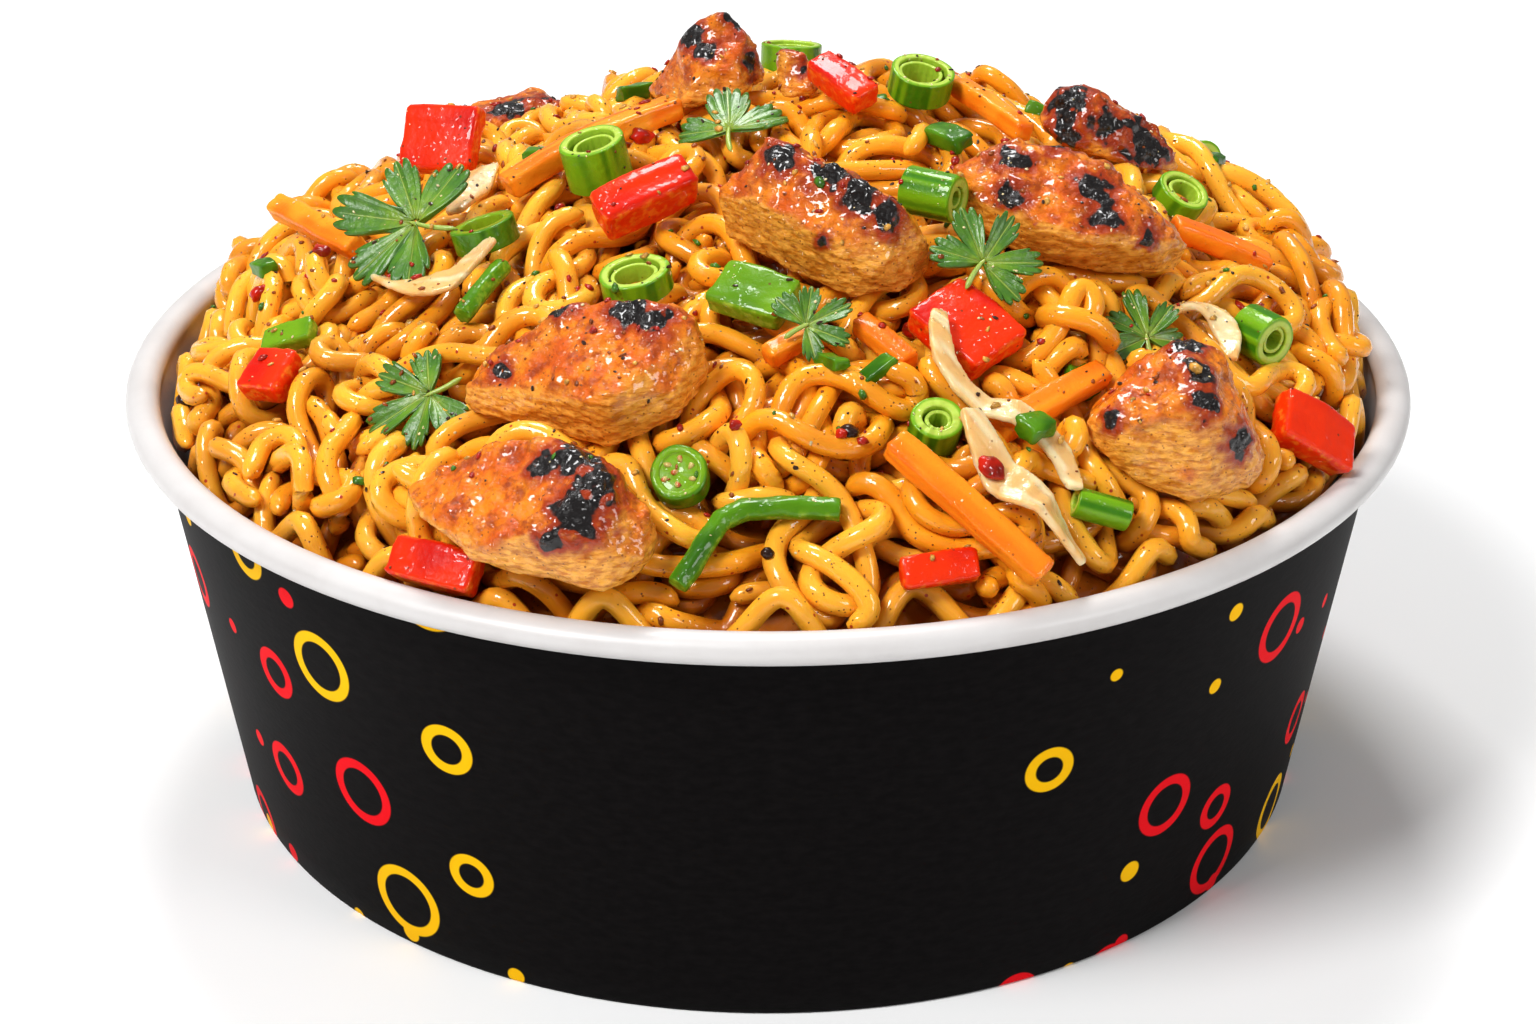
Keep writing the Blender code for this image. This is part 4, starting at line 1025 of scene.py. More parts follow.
# %% Meat finish
MEAT_PALE, MEAT_TAN = (0.88, 0.39, 0.050), (0.56, 0.17, 0.008)
GLAZE_GOLD, GLAZE_ORANGE, GLAZE_RED = (0.78, 0.21, 0.005), (0.60, 0.090, 0.002), (0.32, 0.028, 0.001)
GLAZE_BROWN = (0.30, 0.036, 0.001)
MEAT_SPECK = (0.20, 0.042, 0.004)
CHAR_BLACK = (0.006, 0.004, 0.004)


def meat_finish():
    """Pale fibrous meat, a golden glaze, spice specks, and black char with a red-brown halo."""
    paint = Paint("grilled_meat", Roughness=0.40, Specular_IOR_Level=0.15, Coat_Weight=0.7, Coat_Roughness=0.03,
                  Subsurface_Weight=0.05, Subsurface_Scale=0.8 * MM, Subsurface_Radius=(1.0, 0.4, 0.2))
    fibres = paint.noise(0.9, 4, 0.6, stretch=(0.45, 0.45, 1.5))
    pale = paint.mix(paint.map(fibres, 0.36, 0.6), MEAT_TAN, MEAT_PALE)
    pale = paint.mix(paint.map(paint.value("fibre"), 0.1, 0.9, 0, 0.4), pale, MEAT_TAN)
    patches = paint.noise(5.5, 4, 0.6)
    glaze = paint.mix(paint.map(patches, 0.40, 0.62), GLAZE_GOLD, GLAZE_ORANGE)
    colour = paint.mix(paint.value("glaze"), pale, glaze)
    stain = paint.map(paint.noise(2.6, 4, 0.65), 0.48, 0.64)
    colour = paint.mix(paint.math("MULTIPLY", stain, paint.map(paint.value("glaze"), 0.0, 1.0, 0.15, 0.8)),
                       colour, GLAZE_BROWN)
    colour = paint.specks(colour, 1.0, 0.09, 0.19, 0.85, MEAT_SPECK)
    char = paint.value("char")
    colour = paint.mix(paint.map(char, -0.45, 0.36), colour, GLAZE_RED)
    colour = paint.mix(paint.map(char, 0.42, 0.60), colour, CHAR_BLACK)
    paint.colour(colour)
    grain = paint.math("ADD", fibres, paint.math("MULTIPLY", paint.cells(1.1), 0.9))
    paint.bump(grain, 0.34, 1.0, paint.beads(1.1, 2.0), 0.46)
    return paint.material


grilled_meat = meat_finish()
for name in [n for n in TOPPINGS if n.startswith("chicken")]:
    mesh = meat_piece(name)
    piece = add_object(name + "_grilled", mesh, grilled_meat)
    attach(piece, "root")
    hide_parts(name)
    print(piece.name, len(mesh.polygons), "squares")

# %% [markdown]
# ## Cut vegetables
# Pepper is skin on one side and paler flesh on the cut edges, carrot has fine lines along the
# stick, and fried onion is a thin, half see-through ribbon with veins along it. All of them use
# the same fine copy, with the way each point faces measured in the piece's own three directions.

# %% Cut pieces
CUTS = {
    "red_pepper": (0.5, 3, 0.30, 5.0, "red_pepper"),
    "green_pepper": (0.45, 3, 0.25, 4.0, "green_vegetable"),
    "green_bean": (0.4, 3, 0.18, 3.0, "green_vegetable"),
    "green_strip": (0.4, 3, 0.18, 3.0, "green_vegetable"),
    "carrot": (0.45, 3, 0.18, 3.0, "carrot"),
    "onion": (0.3, 14, 0.05, 4.0, "onion"),
}


def cut_mesh(name, square, relaxing, relief, size):
    """Fine copy with soft lumps, and for each point: skin (faces the short way), streaks and patches."""
    mesh = fine_copy(name, square, relaxing)
    points, normals = points_of(mesh), normals_of(mesh)
    middle, ways = own_axes(points)
    local = (points - middle) @ ways.T
    flat = np.abs(normals @ ways[2])
    seed = len(name) + len(points) % 5
    rise = relief * (0.7 * lumps(points, size, seed) + 0.5 * lumps(local / (8, 1, 1), 1.1, seed + 1) - 0.7)
    move_points(mesh, points + normals * rise[:, None])
    keep(mesh, skin=step(flat, 0.55, 0.85), streak=lumps(local / (12, 0.8, 0.8), 1.0, seed + 2),
         patch=lumps(points, 5.0, seed + 3))
    return mesh


def pepper_finish(name, skin, deep, flesh):
    """Waxed skin on the flat sides, paler wet flesh where it was cut."""
    paint = Paint(name, Roughness=0.35, Specular_IOR_Level=0.1, Coat_Weight=0.4, Coat_Roughness=0.03,
                  Subsurface_Weight=0.08, Subsurface_Scale=1.0 * MM, Subsurface_Radius=(1.0, 0.3, 0.15))
    outside = paint.mix(paint.map(paint.value("patch"), -0.4, 0.6), skin, deep)
    cut = paint.mix(paint.map(paint.noise(1.1, 3), 0.45, 0.7), skin, flesh)
    colour = paint.mix(paint.value("skin"), cut, outside)
    paint.colour(paint.specks(colour, 2.3, 0.06, 0.11, 0.8, (0.12, 0.03, 0.01)))
    paint.bump(paint.noise(1.4, 3), 0.25, 0.6, paint.beads(1.1, 2.6), 0.16)
    return paint.material


def carrot_finish():
    """Orange with paler and deeper lines along the stick."""
    paint = Paint("carrot_stick", Roughness=0.38, Specular_IOR_Level=0.12, Coat_Weight=0.35,
                  Coat_Roughness=0.05, Subsurface_Weight=0.15, Subsurface_Scale=1.2 * MM,
                  Subsurface_Radius=(1.0, 0.35, 0.08))
    colour = paint.mix(paint.map(paint.value("streak"), -0.6, 0.6), (0.88, 0.16, 0.004), (0.94, 0.27, 0.010))
    colour = paint.mix(paint.map(paint.value("patch"), 0.0, 0.7), colour, (0.93, 0.33, 0.018))
    paint.colour(paint.specks(colour, 2.0, 0.05, 0.11, 0.7, (0.25, 0.06, 0.01)))
    paint.bump(paint.math("ADD", paint.value("streak"), paint.noise(0.9, 3)), 0.2, 0.5, paint.beads(1.0, 2.0), 0.12)
    return paint.material


def onion_finish():
    """Cream to peach, half see-through, with veins along the ribbon and browned patches."""
    paint = Paint("fried_onion", Roughness=0.30, Specular_IOR_Level=0.3, Coat_Weight=0.6,
                  Coat_Roughness=0.06, Subsurface_Weight=0.45, Subsurface_Scale=1.8 * MM,
                  Subsurface_Radius=(1.0, 0.6, 0.3), Transmission_Weight=0.12)
    colour = paint.mix(paint.map(paint.value("streak"), -0.5, 0.5), (0.92, 0.72, 0.40), (0.86, 0.50, 0.17))
    colour = paint.mix(paint.map(paint.value("patch"), 0.1, 0.9, 0, 0.6), colour, (0.72, 0.36, 0.10))
    paint.colour(paint.specks(colour, 1.8, 0.05, 0.12, 0.7, (0.22, 0.07, 0.015)))
    paint.bump(paint.math("ADD", paint.value("streak"), paint.noise(1.2, 2)), 0.3, 0.6, paint.beads(1.0, 2.0), 0.12)
    return paint.material


red_skin = pepper_finish("red_pepper_skin", (0.80, 0.028, 0.001), (0.58, 0.006, 0.001), (0.86, 0.16, 0.010))
green_skin = pepper_finish("green_pepper_skin", (0.15, 0.33, 0.007), (0.07, 0.20, 0.004), (0.32, 0.50, 0.04))
bean_skin = pepper_finish("bean_skin", (0.075, 0.22, 0.004), (0.025, 0.11, 0.002), (0.22, 0.38, 0.02))
CUT_FINISH = {"red_pepper": red_skin, "green_pepper": green_skin, "green_bean": bean_skin, "green_strip": bean_skin,
              "carrot": carrot_finish(), "onion": onion_finish()}
for kind, (square, relaxing, relief, size, slot) in CUTS.items():
    names = [n for n in TOPPINGS if n.startswith(kind)]
    for name in names:
        mesh = cut_mesh(name, square, relaxing, relief, size)
        piece = add_object(name + "_cut", mesh, CUT_FINISH[kind])
        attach(piece, "root")
        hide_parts(name)
    print(kind, len(names), "pieces")

# %% [markdown]
# ## Rings of spring onion and chilli
# A spring onion is a roll of leaves, so each slice shows an outer tube with a thinner one loose
# inside it. The axis of each solid is found from its points: two of its three spreads are alike,
# and the axis is the odd one out. A slice is then turned afresh about that axis, slightly oval.

# %% Turn the slices
RING_COLUMNS = 110


def ring_facts(name):
    """Middle, axis and side ways, outer radius, hole radius and height of a ring-shaped solid."""
    points, _ = node_triangles(name)
    spread, ways = np.linalg.eigh(np.cov((points - points.mean(0)).T))
    odd = 0 if spread[1] - spread[0] > spread[2] - spread[1] else 2
    axis = ways[:, odd] * np.sign(ways[2, odd] + 1e-9)
    side = ways[:, (odd + 1) % 3]
    ways = np.stack([side, np.cross(axis, side), axis])
    local = (points - points.mean(0)) @ ways.T
    low, high = local[:, 2].min(), local[:, 2].max()
    middle = points.mean(0) + axis * (low + high) / 2
    away = np.hypot(local[:, 0], local[:, 1])
    return middle, ways, away.max(), away.min() if away.min() > 0.5 else 0.0, high - low


def rounded_wall(outer, inner, height, soft, count=7):
    """Closed profile of a tube's wall: a rectangle with quarter circles of radius soft for corners."""
    turn = np.linspace(0, np.pi / 2, count)
    corners = []
    for start, (r, z) in ((0, (outer - soft, height / 2 - soft)), (1, (inner + soft, height / 2 - soft)),
                          (2, (inner + soft, -height / 2 + soft)), (3, (outer - soft, -height / 2 + soft))):
        angle = turn + start * np.pi / 2
        corners.append(np.stack([r + soft * np.cos(angle), z + soft * np.sin(angle)], -1))
    return np.concatenate(corners)[::-1]


def slice_grid(profile, columns, oval, seed):
    """Points of a turned wall: the radius swells by a few waves round the slice, most at its ends."""
    angle = 2 * np.pi * np.arange(columns) / columns
    waves = 1 + oval * np.cos(2 * angle + seed) + 0.4 * oval * np.cos(5 * angle + 2 * seed)
    radius = profile[:, :1] * waves
    flare = 1 + 0.015 * np.cos(3 * angle + seed) * np.abs(profile[:, 1:] / profile[:, 1].max())
    points = np.stack([radius * flare * np.cos(angle), radius * flare * np.sin(angle),
                       np.repeat(profile[:, 1:], columns, axis=1)], -1)
    number = np.arange(len(profile) * columns).reshape(len(profile), columns)
    below = np.roll(number, -1, 0)
    quads = np.stack([number, below, np.roll(below, -1, 1), np.roll(number, -1, 1)], -1).reshape(-1, 4)
    return points.reshape(-1, 3), quads


def slice_mesh(name, loose_layer=True):
    """A slice in place of a ring-shaped solid: its own wall, and a thinner loose tube inside it."""
    middle, ways, outer, hole, height = ring_facts(name)
    seed = float(len(name) % 6)
    walls = [(rounded_wall(outer * 0.97, hole * 1.02, height, 0.28), 0.03, (0, 0, 0))]
    if loose_layer and hole > 1.5:
        inner = rounded_wall(hole * 0.93, hole * 0.93 - 0.55, height * 0.84, 0.2)
        walls.append((inner, 0.05, (0.1 * hole * math.cos(seed), 0.1 * hole * math.sin(seed), -0.03 * height)))
    points, faces, start = [], [], 0
    for profile, oval, shift in walls:
        local, quads = slice_grid(profile, RING_COLUMNS, oval * (0.6 if hole else 1), seed)
        points.append(local + shift)
        faces.append(quads + start)
        start += len(local)
    local = np.concatenate(points)
    mesh = make_mesh(name, local @ ways + middle, np.concatenate(faces))
    angle = np.arctan2(local[:, 1], local[:, 0])
    away = np.hypot(local[:, 0], local[:, 1])
    round_it = np.stack([9 * np.cos(angle) * outer / 3, 9 * np.sin(angle) * outer / 3, local[:, 2] / 9], -1)
    facing = np.abs(normals_of(mesh) @ ways[2])
    keep(mesh, end=step(facing, 0.35, 0.75), wall=step(away, hole + 0.1, outer - 0.25),
         streak=lumps(round_it, 2.6, int(seed)))
    return mesh


def stem_finish(name, skin, dark, inside, cut):
    """Lengthwise streaks on the skin, lighter inside the hole, and a pale wet cut end with a dark rim."""
    paint = Paint(name, Roughness=0.35, Specular_IOR_Level=0.12, Coat_Weight=0.4, Coat_Roughness=0.03,
                  Subsurface_Weight=0.18, Subsurface_Scale=0.9 * MM, Subsurface_Radius=(0.6, 1.0, 0.2))
    lines = paint.map(paint.value("streak"), -0.45, 0.45)
    outside = paint.mix(lines, dark, skin)
    body = paint.mix(paint.map(paint.value("wall"), 0.3, 0.8), inside, outside)
    ends = paint.mix(paint.map(paint.value("wall"), 0.55, 0.95), cut, skin)
    colour = paint.mix(paint.value("end"), body, ends)
    paint.colour(paint.specks(colour, 2.1, 0.05, 0.11, 0.7, (0.16, 0.06, 0.012)))
    paint.bump(paint.math("ADD", paint.value("streak"), paint.noise(0.9, 2)), 0.2, 0.6, paint.beads(0.9, 2.0), 0.12)
    return paint.material


onion_green = stem_finish("spring_onion_green", (0.16, 0.37, 0.006), (0.040, 0.18, 0.003), (0.34, 0.52, 0.035),
                          (0.44, 0.60, 0.08))
chilli_green = stem_finish("chilli_green", (0.075, 0.22, 0.003), (0.028, 0.11, 0.002), (0.24, 0.38, 0.012),
                           (0.16, 0.33, 0.008))
for name in [n for n in TOPPINGS if n.startswith(("spring_onion", "chilli_ring"))]:
    mesh = slice_mesh(name, not name.startswith("chilli"))
    piece = add_object(name + "_slice", mesh, chilli_green if name.startswith("chilli") else onion_green)
    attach(piece, "root")
    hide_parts(name)
    print(piece.name, len(mesh.polygons), "squares")

# %% A slice of chilli with its seeds
SEED_SIZES, SEED_PALE, SEED_RED = (0.62, 0.42, 0.28), (0.52, 0.40, 0.10), (0.46, 0.06, 0.01)


def pebbles(places, sizes, ways, seed):
    """Small twelve-cornered stones, each at its place, stretched by its sizes along its own three ways."""
    golden = (1 + 5**0.5) / 2
    base = np.array([(-1, golden, 0), (1, golden, 0), (-1, -golden, 0), (1, -golden, 0),
                     (0, -1, golden), (0, 1, golden), (0, -1, -golden), (0, 1, -golden),
                     (golden, 0, -1), (golden, 0, 1), (-golden, 0, -1), (-golden, 0, 1)]) / math.hypot(1, golden)
    faces = np.array([(0, 11, 5), (0, 5, 1), (0, 1, 7), (0, 7, 10), (0, 10, 11), (1, 5, 9), (5, 11, 4),
                      (11, 10, 2), (10, 7, 6), (7, 1, 8), (3, 9, 4), (3, 4, 2), (3, 2, 6), (3, 6, 8),
                      (3, 8, 9), (4, 9, 5), (2, 4, 11), (6, 2, 10), (8, 6, 7), (9, 8, 1)])
    rng = np.random.default_rng(seed)
    local = base[None] * np.asarray(sizes)[:, None] * rng.uniform(0.72, 1.15, (len(places), 12, 1))
    points = np.einsum("nki,nij->nkj", local, ways) + np.asarray(places)[:, None]
    corners = (faces[None] + 12 * np.arange(len(places))[:, None, None]).reshape(-1, 3)
    return points.reshape(-1, 3), corners


middle, ways, outer, hole, height = ring_facts("chilli_slice")
wall, wall_faces = slice_grid(rounded_wall(outer * 0.97, outer * 0.62, height, 0.55), RING_COLUMNS, 0.03, 1.0)
flesh, flesh_faces = slice_grid(rounded_wall(outer * 0.68, 0.02, height * 0.84, 0.01, 3), RING_COLUMNS, 0.03, 1.0)
both = np.concatenate([wall, flesh])
mesh = make_mesh("chilli_slice", both @ ways + middle, np.concatenate([wall_faces, flesh_faces + len(wall)]))
away = np.hypot(both[:, 0], both[:, 1])
keep(mesh, end=step(np.abs(normals_of(mesh) @ ways[2]), 0.35, 0.75),
     wall=step(away, outer * 0.7, outer * 0.95), streak=lumps(both, 1.2, 2))
chilli = add_object("chilli_slice_wall", mesh, chilli_green)
seed_turn = np.radians([15, 80, 140, 205, 262, 320, 50])
seed_away = outer * np.array([0.45, 0.5, 0.42, 0.5, 0.44, 0.48, 0.12])
seed_spots = np.stack([seed_away * np.cos(seed_turn), seed_away * np.sin(seed_turn),
                       np.full(len(seed_turn), height * 0.42)], -1) @ ways + middle
seed_ways = np.stack([np.stack([np.array([math.cos(t), math.sin(t), 0.2]) @ ways,
                                np.array([-math.sin(t), math.cos(t), 0]) @ ways, ways[2]])
                      for t in seed_turn + 0.5])
points, corners = pebbles(seed_spots, [SEED_SIZES] * len(seed_turn), seed_ways, 5)
seed_paint = Paint("chilli_seed", Roughness=0.35, Coat_Weight=0.4)
stained = seed_paint.map(seed_paint.noise(0.8), 0.4, 0.7)
seed_paint.colour(seed_paint.mix(stained, SEED_PALE, SEED_RED))
seeds = add_object("chilli_seeds", make_mesh("chilli_seeds", points, corners), seed_paint.material)
for piece in (chilli, seeds):
    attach(piece, "root")
    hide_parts("chilli_slice")
print("chilli slice with", len(seed_turn), "seeds")

# %% [markdown]
# ## Coriander
# A coriander leaf is a fan: lobes spread from the top of the stalk, and each lobe ends in round
# teeth. In polar form that is one function, the reach of the edge in each direction. A grid of
# direction by share of that reach makes the blade, waves lift it as it wilts in the steam, and
# the veins run along the middle of each lobe and out to each tooth.

# %% Leaf blades
LEAF_AROUND, LEAF_OUT = 240, 9
LEAF_TURN, TEETH = {3: 218, 5: 262}, {3: 7, 5: 5}
LEAF_SHEET, VEIN_HALF_WIDTH, TOOTH_VEIN_HALF_WIDTH = 0.45, 0.11, 0.10
STALK_RINGS, STALK_SIDES = 14, 8
LEAF_LOBES = {"leaf_left": 5, "leaf_top": 3, "leaf_centre": 5, "leaf_right": 5, "leaf_front": 5, "leaf_small": 5,
              "leaf_back": 3}


def leaf_frame(name):
    """Hub of the leaf, its ways along, across and up, and its span, from the solid.

    The tip of its stalk is the solid's farthest point."""
    points, _ = node_triangles(name)
    _, ways = np.linalg.eigh(np.cov((points - points.mean(0)).T))
    up = ways[:, 0] * np.sign(ways[2, 0] + 1e-9)
    offset = points - points.mean(0)
    flat = offset - np.outer(offset @ up, up)
    tip = flat[np.linalg.norm(flat, axis=1).argmax()]
    along = -tip / np.linalg.norm(tip)
    span = np.linalg.norm(tip) / 0.66
    return points.mean(0), np.stack([along, np.cross(up, along), up]), span


def leaf_edge(angle, lobes, seed):
    """Reach of the blade from the stalk's top: broad lobes with a narrow cut between them, and round teeth.

    Along each lobe t runs from -1 to 1. The cut is a narrow dip near both ends of t, and the teeth
    are the flat tops of |cos|, which fall off sharply between one tooth and the next."""
    wide = np.radians(LEAF_TURN[lobes])
    place = (angle / wide + 0.5) * lobes
    inside = np.clip(place, 0, lobes - 1e-6)
    number = np.floor(inside)
    t = 2 * (inside - number) - 1
    from_middle = np.abs(number - (lobes - 1) / 2) / ((lobes - 1) / 2)
    length = 1.0 - 0.20 * from_middle + 0.05 * np.sin(number * 2.3 + seed)
    lobe = (1 - 0.20 * t**2) * (1 - 0.60 * np.abs(t) ** 7)
    teeth = 1 - 0.28 * (1 - np.abs(np.cos(np.pi * TEETH[lobes] / 2 * t)) ** 0.36)
    ends = 1 - step(np.abs(angle), wide / 2 * 0.97, wide / 2 * 1.02)
    return length * lobe * teeth * np.clip(ends, 0.05, 1), t, number


def leaf_mesh(name, lobes):
    """Upper and lower sheets of the blade, joined round the edge, and a tapering stalk."""
    hub, ways, span = leaf_frame(name)
    seed = len(name) * 1.7
    half_turn = np.radians(LEAF_TURN[lobes] / 2 + 3)
    angle = np.linspace(-half_turn, half_turn, LEAF_AROUND)
    edge, t, number = leaf_edge(angle, lobes, seed)
    share = np.linspace(0.04, 1, LEAF_OUT)[:, None] ** 0.8
    reach = 0.74 * span * edge * share
    bend = 0.10 * np.sin(share * 3 + number) * t
    x, y = reach * np.cos(angle + bend) - 0.30 * span, reach * np.sin(angle + bend)
    fold = 0.06 * span * (np.abs(t) - 0.4) * share * (1 - np.abs(t) ** 6)
    wave = 0.05 * span * np.sin(2.3 * angle + seed) * share**1.5
    wave += 0.025 * span * np.sin(7 * angle + seed) * share**3
    z = fold + wave + 0.010 * x**2 * np.sign(x) * 0.6
    top = np.stack([x, y, z + LEAF_SHEET / 2], -1)
    low = np.stack([x, y, z - LEAF_SHEET / 2], -1)
    points = np.concatenate([top.reshape(-1, 3), low.reshape(-1, 3)])
    count = LEAF_OUT * LEAF_AROUND
    grid = np.arange(count).reshape(LEAF_OUT, LEAF_AROUND)
    here, out = grid[:-1], grid[1:]
    upper = np.stack([here[:, :-1], out[:, :-1], out[:, 1:], here[:, 1:]], -1).reshape(-1, 4)
    border = np.concatenate([grid[0, :-1], grid[:-1, -1], grid[-1, :0:-1], grid[:0:-1, 0]])
    after = np.roll(border, -1)
    rim = np.stack([border, after, after + count, border + count], -1)
    blade = len(points)
    s = np.linspace(0, 1, STALK_RINGS)
    stalk_path = np.stack([np.interp(s, (0, 1), (-0.66, -0.24)) * span, 0.02 * span * np.sin(3 * s),
                           np.interp(s, (0, 1), (-0.35, 0.15))], -1)[None]
    stalk = tubes(stalk_path, np.interp(s, (0, 1), (0.42, 0.30))[None], STALK_SIDES)
    quads, caps = tube_faces(1, STALK_RINGS, STALK_SIDES)
    points = np.concatenate([points, stalk.reshape(-1, 3)])
    mesh = make_mesh(name, points @ ways + hub, upper, upper[:, ::-1] + count, rim, quads + blade, caps + blade)
    radial = np.broadcast_to(share, x.shape)
    half_lobe = np.radians(LEAF_TURN[lobes] / lobes / 2)
    main_vein = np.abs(t) * reach * half_lobe
    tooth = np.abs((np.abs(t) - 2 / TEETH[lobes]) * reach * half_lobe) + 0.12 * span * (1 - radial)
    vein = np.exp(-(main_vein / VEIN_HALF_WIDTH) ** 2) + 0.4 * np.exp(-(tooth / TOOTH_VEIN_HALF_WIDTH) ** 2)
    stalk_fill = np.zeros(stalk.shape[1] * stalk.shape[2])
    keep(mesh, radial=np.concatenate([radial.ravel(), radial.ravel(), stalk_fill]),
         vein=np.concatenate([vein.ravel(), vein.ravel(), stalk_fill + 0.8]))
    return mesh


def leaf_finish():
    """Fresh green, yellower towards the stalk, with pale veins, a soft wax and light coming through."""
    paint = Paint("coriander_green", Roughness=0.36, Coat_Weight=0.3, Coat_Roughness=0.25, Subsurface_Weight=0.25,
                  Subsurface_Scale=0.6 * MM, Subsurface_Radius=(0.5, 1.0, 0.1))
    blade = paint.ramp(paint.value("radial"), (0.0, (0.26, 0.36, 0.012)), (0.5, (0.105, 0.25, 0.008)),
                       (1.0, (0.045, 0.155, 0.008)))
    colour = paint.mix(paint.map(paint.noise(2.2, 3), 0.42, 0.68, 0, 0.6), blade, (0.035, 0.135, 0.014))
    paint.colour(paint.mix(paint.map(paint.value("vein"), 0.15, 0.9, 0, 0.75), colour, (0.38, 0.50, 0.09)))
    relief = paint.math("SUBTRACT", paint.noise(0.8, 3), paint.math("MULTIPLY", paint.value("vein"), 0.8))
    paint.bump(relief, 0.25, 0.8)
    return paint.material


coriander_green = leaf_finish()
for name, lobes in LEAF_LOBES.items():
    mesh = leaf_mesh(name, lobes)
    piece = add_object(name + "_blade", mesh, coriander_green)
    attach(piece, "root")
    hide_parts(name)
    print(piece.name, len(mesh.polygons), "faces, span", round(leaf_frame(name)[2], 1), "mm")

# %% [markdown]
# ## Spice, crumbs and herbs
# What makes the dish look cooked is small: chilli flakes, cracked pepper, crumbs of fried garlic,
# chopped herbs and a few soft lumps of chilli paste. A straight line is sent down to the food at
# each place, and a lump or a little stone is laid where it lands, pressed into the surface.

# %% Where the food's surface is
def shown_pieces():
    """The pieces of food that a crumb can land on."""
    return [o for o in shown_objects() if not o.name.startswith("paper")]


def surface_tree(pieces):
    """One search tree of all the pieces' faces, in mm."""
    points, faces, start = [], [], 0
    for piece in pieces:
        mesh = piece.data
        mesh.calc_loop_triangles()
        corners = np.empty(len(mesh.loop_triangles) * 3, np.int32)
        mesh.loop_triangles.foreach_get("vertices", corners)
        points.append(points_of(mesh))
        faces.append(corners.reshape(-1, 3) + start)
        start += len(points[-1])
    return BVHTree.FromPolygons(np.concatenate(points).tolist(), np.concatenate(faces).tolist())


food_tree = surface_tree(shown_pieces())
print("search tree over", len(shown_pieces()), "pieces")

# %% Lumps of chilli paste, chopped greens and peppercorns
LUMP_ROWS, LUMP_COLUMNS = 13, 24
LUMPS = {
    "chilli_paste": (1.0, 0.30, ((-80, -4, 3.6, 3.0, 2.4), (-62, -13, 2.8, 2.2, 1.8), (-18, 2, 3.4, 2.6, 2.2),
                                 (-11, 25, 4.6, 3.0, 2.4), (20, -44, 5.0, 3.6, 2.8), (20, -14, 4.2, 3.0, 2.4),
                                 (62, -28, 4.4, 3.2, 2.4), (-71, -12, 3.0, 2.2, 1.8), (27, -74, 3.6, 2.4, 2.0),
                                 (-4, -68, 1.8, 1.5, 1.2), (9, -68, 2.0, 1.6, 1.3), (12, 40, 4.0, 3.0, 2.2),
                                 (-40, 36, 4.2, 3.0, 2.2), (52, 34, 4.0, 3.2, 2.4), (2, 62, 4.0, 2.8, 2.2))),
    "chopped_greens": (0.34, 0.20, ((-60, 20, 6.0, 4.2, 2.6), (-32, 2, 5.0, 3.0, 2.2), (25, -8, 7.0, 3.6, 2.6),
                                   (8, -58, 5.0, 2.4, 1.6), (14, -59, 4.6, 2.2, 1.6), (-52, -66, 3.0, 2.0, 1.5),
                                   (33, -66, 4.6, 3.6, 2.4), (40, -50, 4.8, 3.6, 2.4), (40, 17, 5.6, 3.0, 2.4),
                                   (-71, -7, 4.2, 2.8, 2.0), (15, 9, 4.0, 2.8, 2.0), (-20, 30, 5.0, 3.2, 2.4),
                                   (30, 52, 5.6, 3.4, 2.4), (-52, 48, 5.0, 3.2, 2.2), (66, 20, 5.0, 3.0, 2.2))),
    "peppercorns": (1.0, 0.16, ((10, -67, 2.6, 2.4, 2.2), (-81, -22, 2.8, 2.5, 2.3), (-54, 13, 2.6, 2.3, 2.1),
                                (0, -79, 1.6, 1.5, 1.4), (46, 44, 2.5, 2.3, 2.1), (-30, 62, 2.6, 2.3, 2.1))),
}


def lump_mesh(name, places, square, rough, seed):
    """Rounded lumps: cos and sin to the power square give a ball at 1 and a box at less; noise dents them."""
    rng = np.random.default_rng(seed)
    up = np.linspace(-np.pi / 2, np.pi / 2, LUMP_ROWS + 2)[1:-1, None]
    turn = 2 * np.pi * np.arange(LUMP_COLUMNS)[None] / LUMP_COLUMNS

    def power(v):
        return np.sign(v) * np.abs(v) ** square

    ball = np.stack([power(np.cos(up)) * power(np.cos(turn)), power(np.cos(up)) * power(np.sin(turn)),
                     power(np.sin(up)) + 0 * turn], -1).reshape(-1, 3)
    ball = np.concatenate([ball, [(0, 0, -1.0), (0, 0, 1.0)]]) / 2
    number = np.arange(LUMP_ROWS * LUMP_COLUMNS).reshape(LUMP_ROWS, LUMP_COLUMNS)
    here, above = number[:-1], number[1:]
    quads = np.stack([here, np.roll(here, -1, 1), np.roll(above, -1, 1), above], -1).reshape(-1, 4)
    low, high = number[0], number[-1]
    caps = np.concatenate([np.stack([np.roll(low, -1), low, np.full(len(low), number.size)], -1),
                           np.stack([high, np.roll(high, -1), np.full(len(high), number.size + 1)], -1)])
    points, squares, corners = [], [], []
    for x, y, *sizes in places:
        place, normal, face, distance = food_tree.ray_cast(Vector((x, y, 130)), Vector((0, 0, -1)))
        facing = (Vector((0, 0, 1)) + (normal if normal.z > 0 else -normal)).normalized()
        ways = laid_ways(rng, np.array([facing]))[0]
        local = ball * sizes * (1 + rough * lumps(ball * 3.4, 1.0, len(points) + seed)[:, None])
        squares.append(quads + len(ball) * len(points))
        corners.append(caps + len(ball) * len(points))
        points.append(local @ ways + np.array(place) + np.array(facing) * sizes[2] * 0.22)
    mesh = make_mesh(name, np.concatenate(points), np.concatenate(squares), np.concatenate(corners))
    count = len(mesh.vertices)
    keep(mesh, skin=np.ones(count), patch=lumps(points_of(mesh), 1.6, seed))
    return mesh


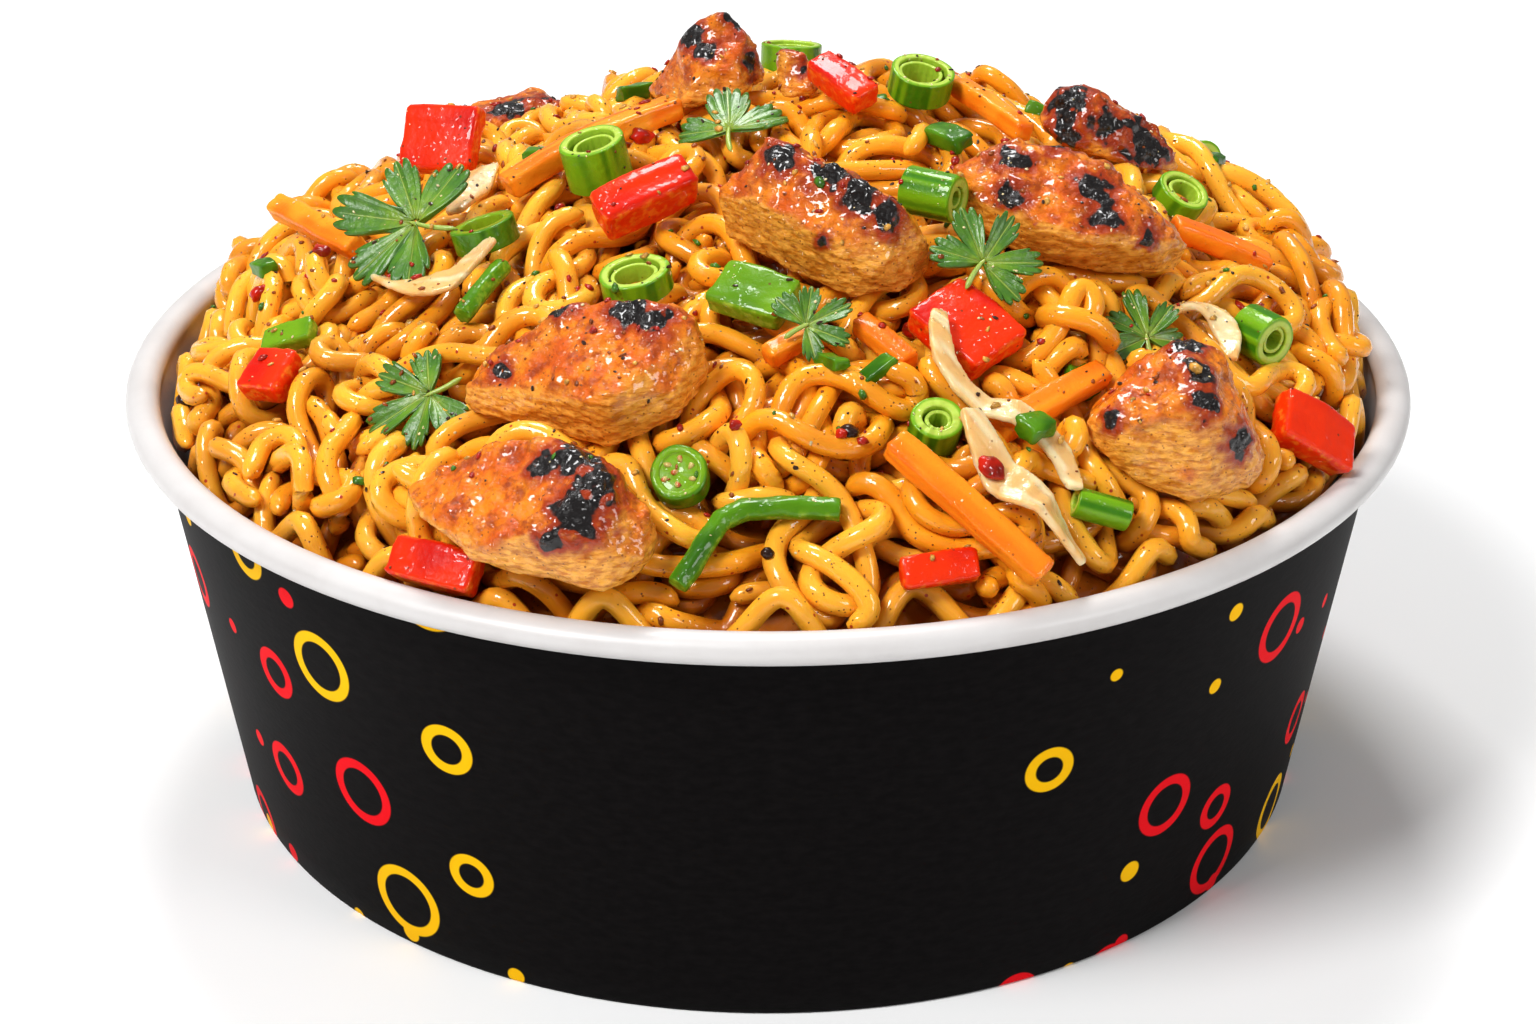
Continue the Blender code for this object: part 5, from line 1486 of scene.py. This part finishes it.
def laid_ways(rng, facings):
    """Three ways for each stone: two turned at random in the surface, the third along its facing."""
    spin = rng.normal(0, 1, facings.shape)
    side = np.cross(facings, spin)
    side /= np.linalg.norm(side, axis=1, keepdims=True)
    return np.stack([side, np.cross(facings, side), facings], 1)


PASTE_COLOURS = (0.52, 0.012, 0.002), (0.20, 0.006, 0.002), (0.60, 0.06, 0.01)
CORN_COLOURS = (0.030, 0.010, 0.006), (0.012, 0.005, 0.004), (0.2, 0.03, 0.01)
LUMP_FINISH = {
    "chilli_paste": (pepper_finish("chilli_paste", *PASTE_COLOURS), "noodle"),
    "chopped_greens": (bean_skin, "green_vegetable"),
    "peppercorns": (pepper_finish("peppercorn", *CORN_COLOURS), "noodle"),
}
for number, (name, (square, rough, places)) in enumerate(LUMPS.items()):
    finish, slot = LUMP_FINISH[name]
    piece = add_object(name, lump_mesh(name, places, square, rough, 80 + number), finish)
    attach(piece, "root")
    print(name, len(places), "lumps")

# %% Scatter the small things
SCATTER = {
    "pepper_specks": (900, (0.20, 0.50), (0.045, 0.018, 0.010)),
    "spice_crumbs": (620, (0.25, 0.60), (0.34, 0.075, 0.010)),
    "chilli_flakes": (230, (0.45, 1.05), (0.42, 0.014, 0.004)),
    "garlic_crumbs": (240, (0.40, 0.95), (0.72, 0.36, 0.06)),
    "herb_bits": (90, (0.45, 1.20), (0.055, 0.19, 0.010)),
    # Oil beads: real little droplets in size, painted pale cream so that each one shows as a painted highlight.
    "oil_beads": (2600, (0.10, 0.30), (0.95, 0.78, 0.42)),
}
SPOT_RADIUS, SPOT_HEIGHT, LOWEST_SPOT = 83.0, 95.0, 52


def landing_spots(rng, count):
    """Places and facings where lines from above, each a little aslant, meet the food."""
    angle, radius = rng.uniform(0, 2 * np.pi, count), SPOT_RADIUS * np.sqrt(rng.uniform(0, 1, count))
    lean = rng.normal(0, 0.35, (count, 2))
    spots, facings = [], []
    for a, r, (sx, sy) in zip(angle, radius, lean):
        way = Vector((sx, sy, -1)).normalized()
        start = Vector((r * math.cos(a), r * math.sin(a), SPOT_HEIGHT)) - way * 60
        place, normal, face, distance = food_tree.ray_cast(start, way)
        if place is not None and place.z > LOWEST_SPOT:
            spots.append(place)
            facings.append(normal if normal.z > 0 else -normal)
    return np.array(spots), np.array(facings)


def crumb_finish(name, colour):
    """One colour, darker in patches, with an oily shine."""
    paint = Paint(name, Roughness=0.35, Specular_IOR_Level=0.2, Coat_Weight=0.4, Coat_Roughness=0.08)
    dark = tuple(0.45 * v for v in colour)
    paint.colour(paint.mix(paint.map(paint.noise(0.7, 2), 0.35, 0.7), colour, dark))
    return paint.material


for number, (name, (count, (small, large), colour)) in enumerate(SCATTER.items()):
    rng = np.random.default_rng(40 + number)
    spots, facings = landing_spots(rng, count)
    size = small + (large - small) * rng.uniform(0, 1, (len(spots), 1)) ** 2
    sizes = size * np.stack([rng.uniform(0.8, 1.3, len(spots)), rng.uniform(0.5, 0.9, len(spots)),
                             rng.uniform(0.3, 0.6, len(spots))], -1)
    points, corners = pebbles(spots + facings * sizes[:, 2:] * 0.4, sizes, laid_ways(rng, facings), 60 + number)
    mesh = make_mesh(name, points, corners, smooth=number > 0)
    piece = add_object(name, mesh, crumb_finish(name, colour))
    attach(piece, "root")
    print(name, len(spots), "pieces")
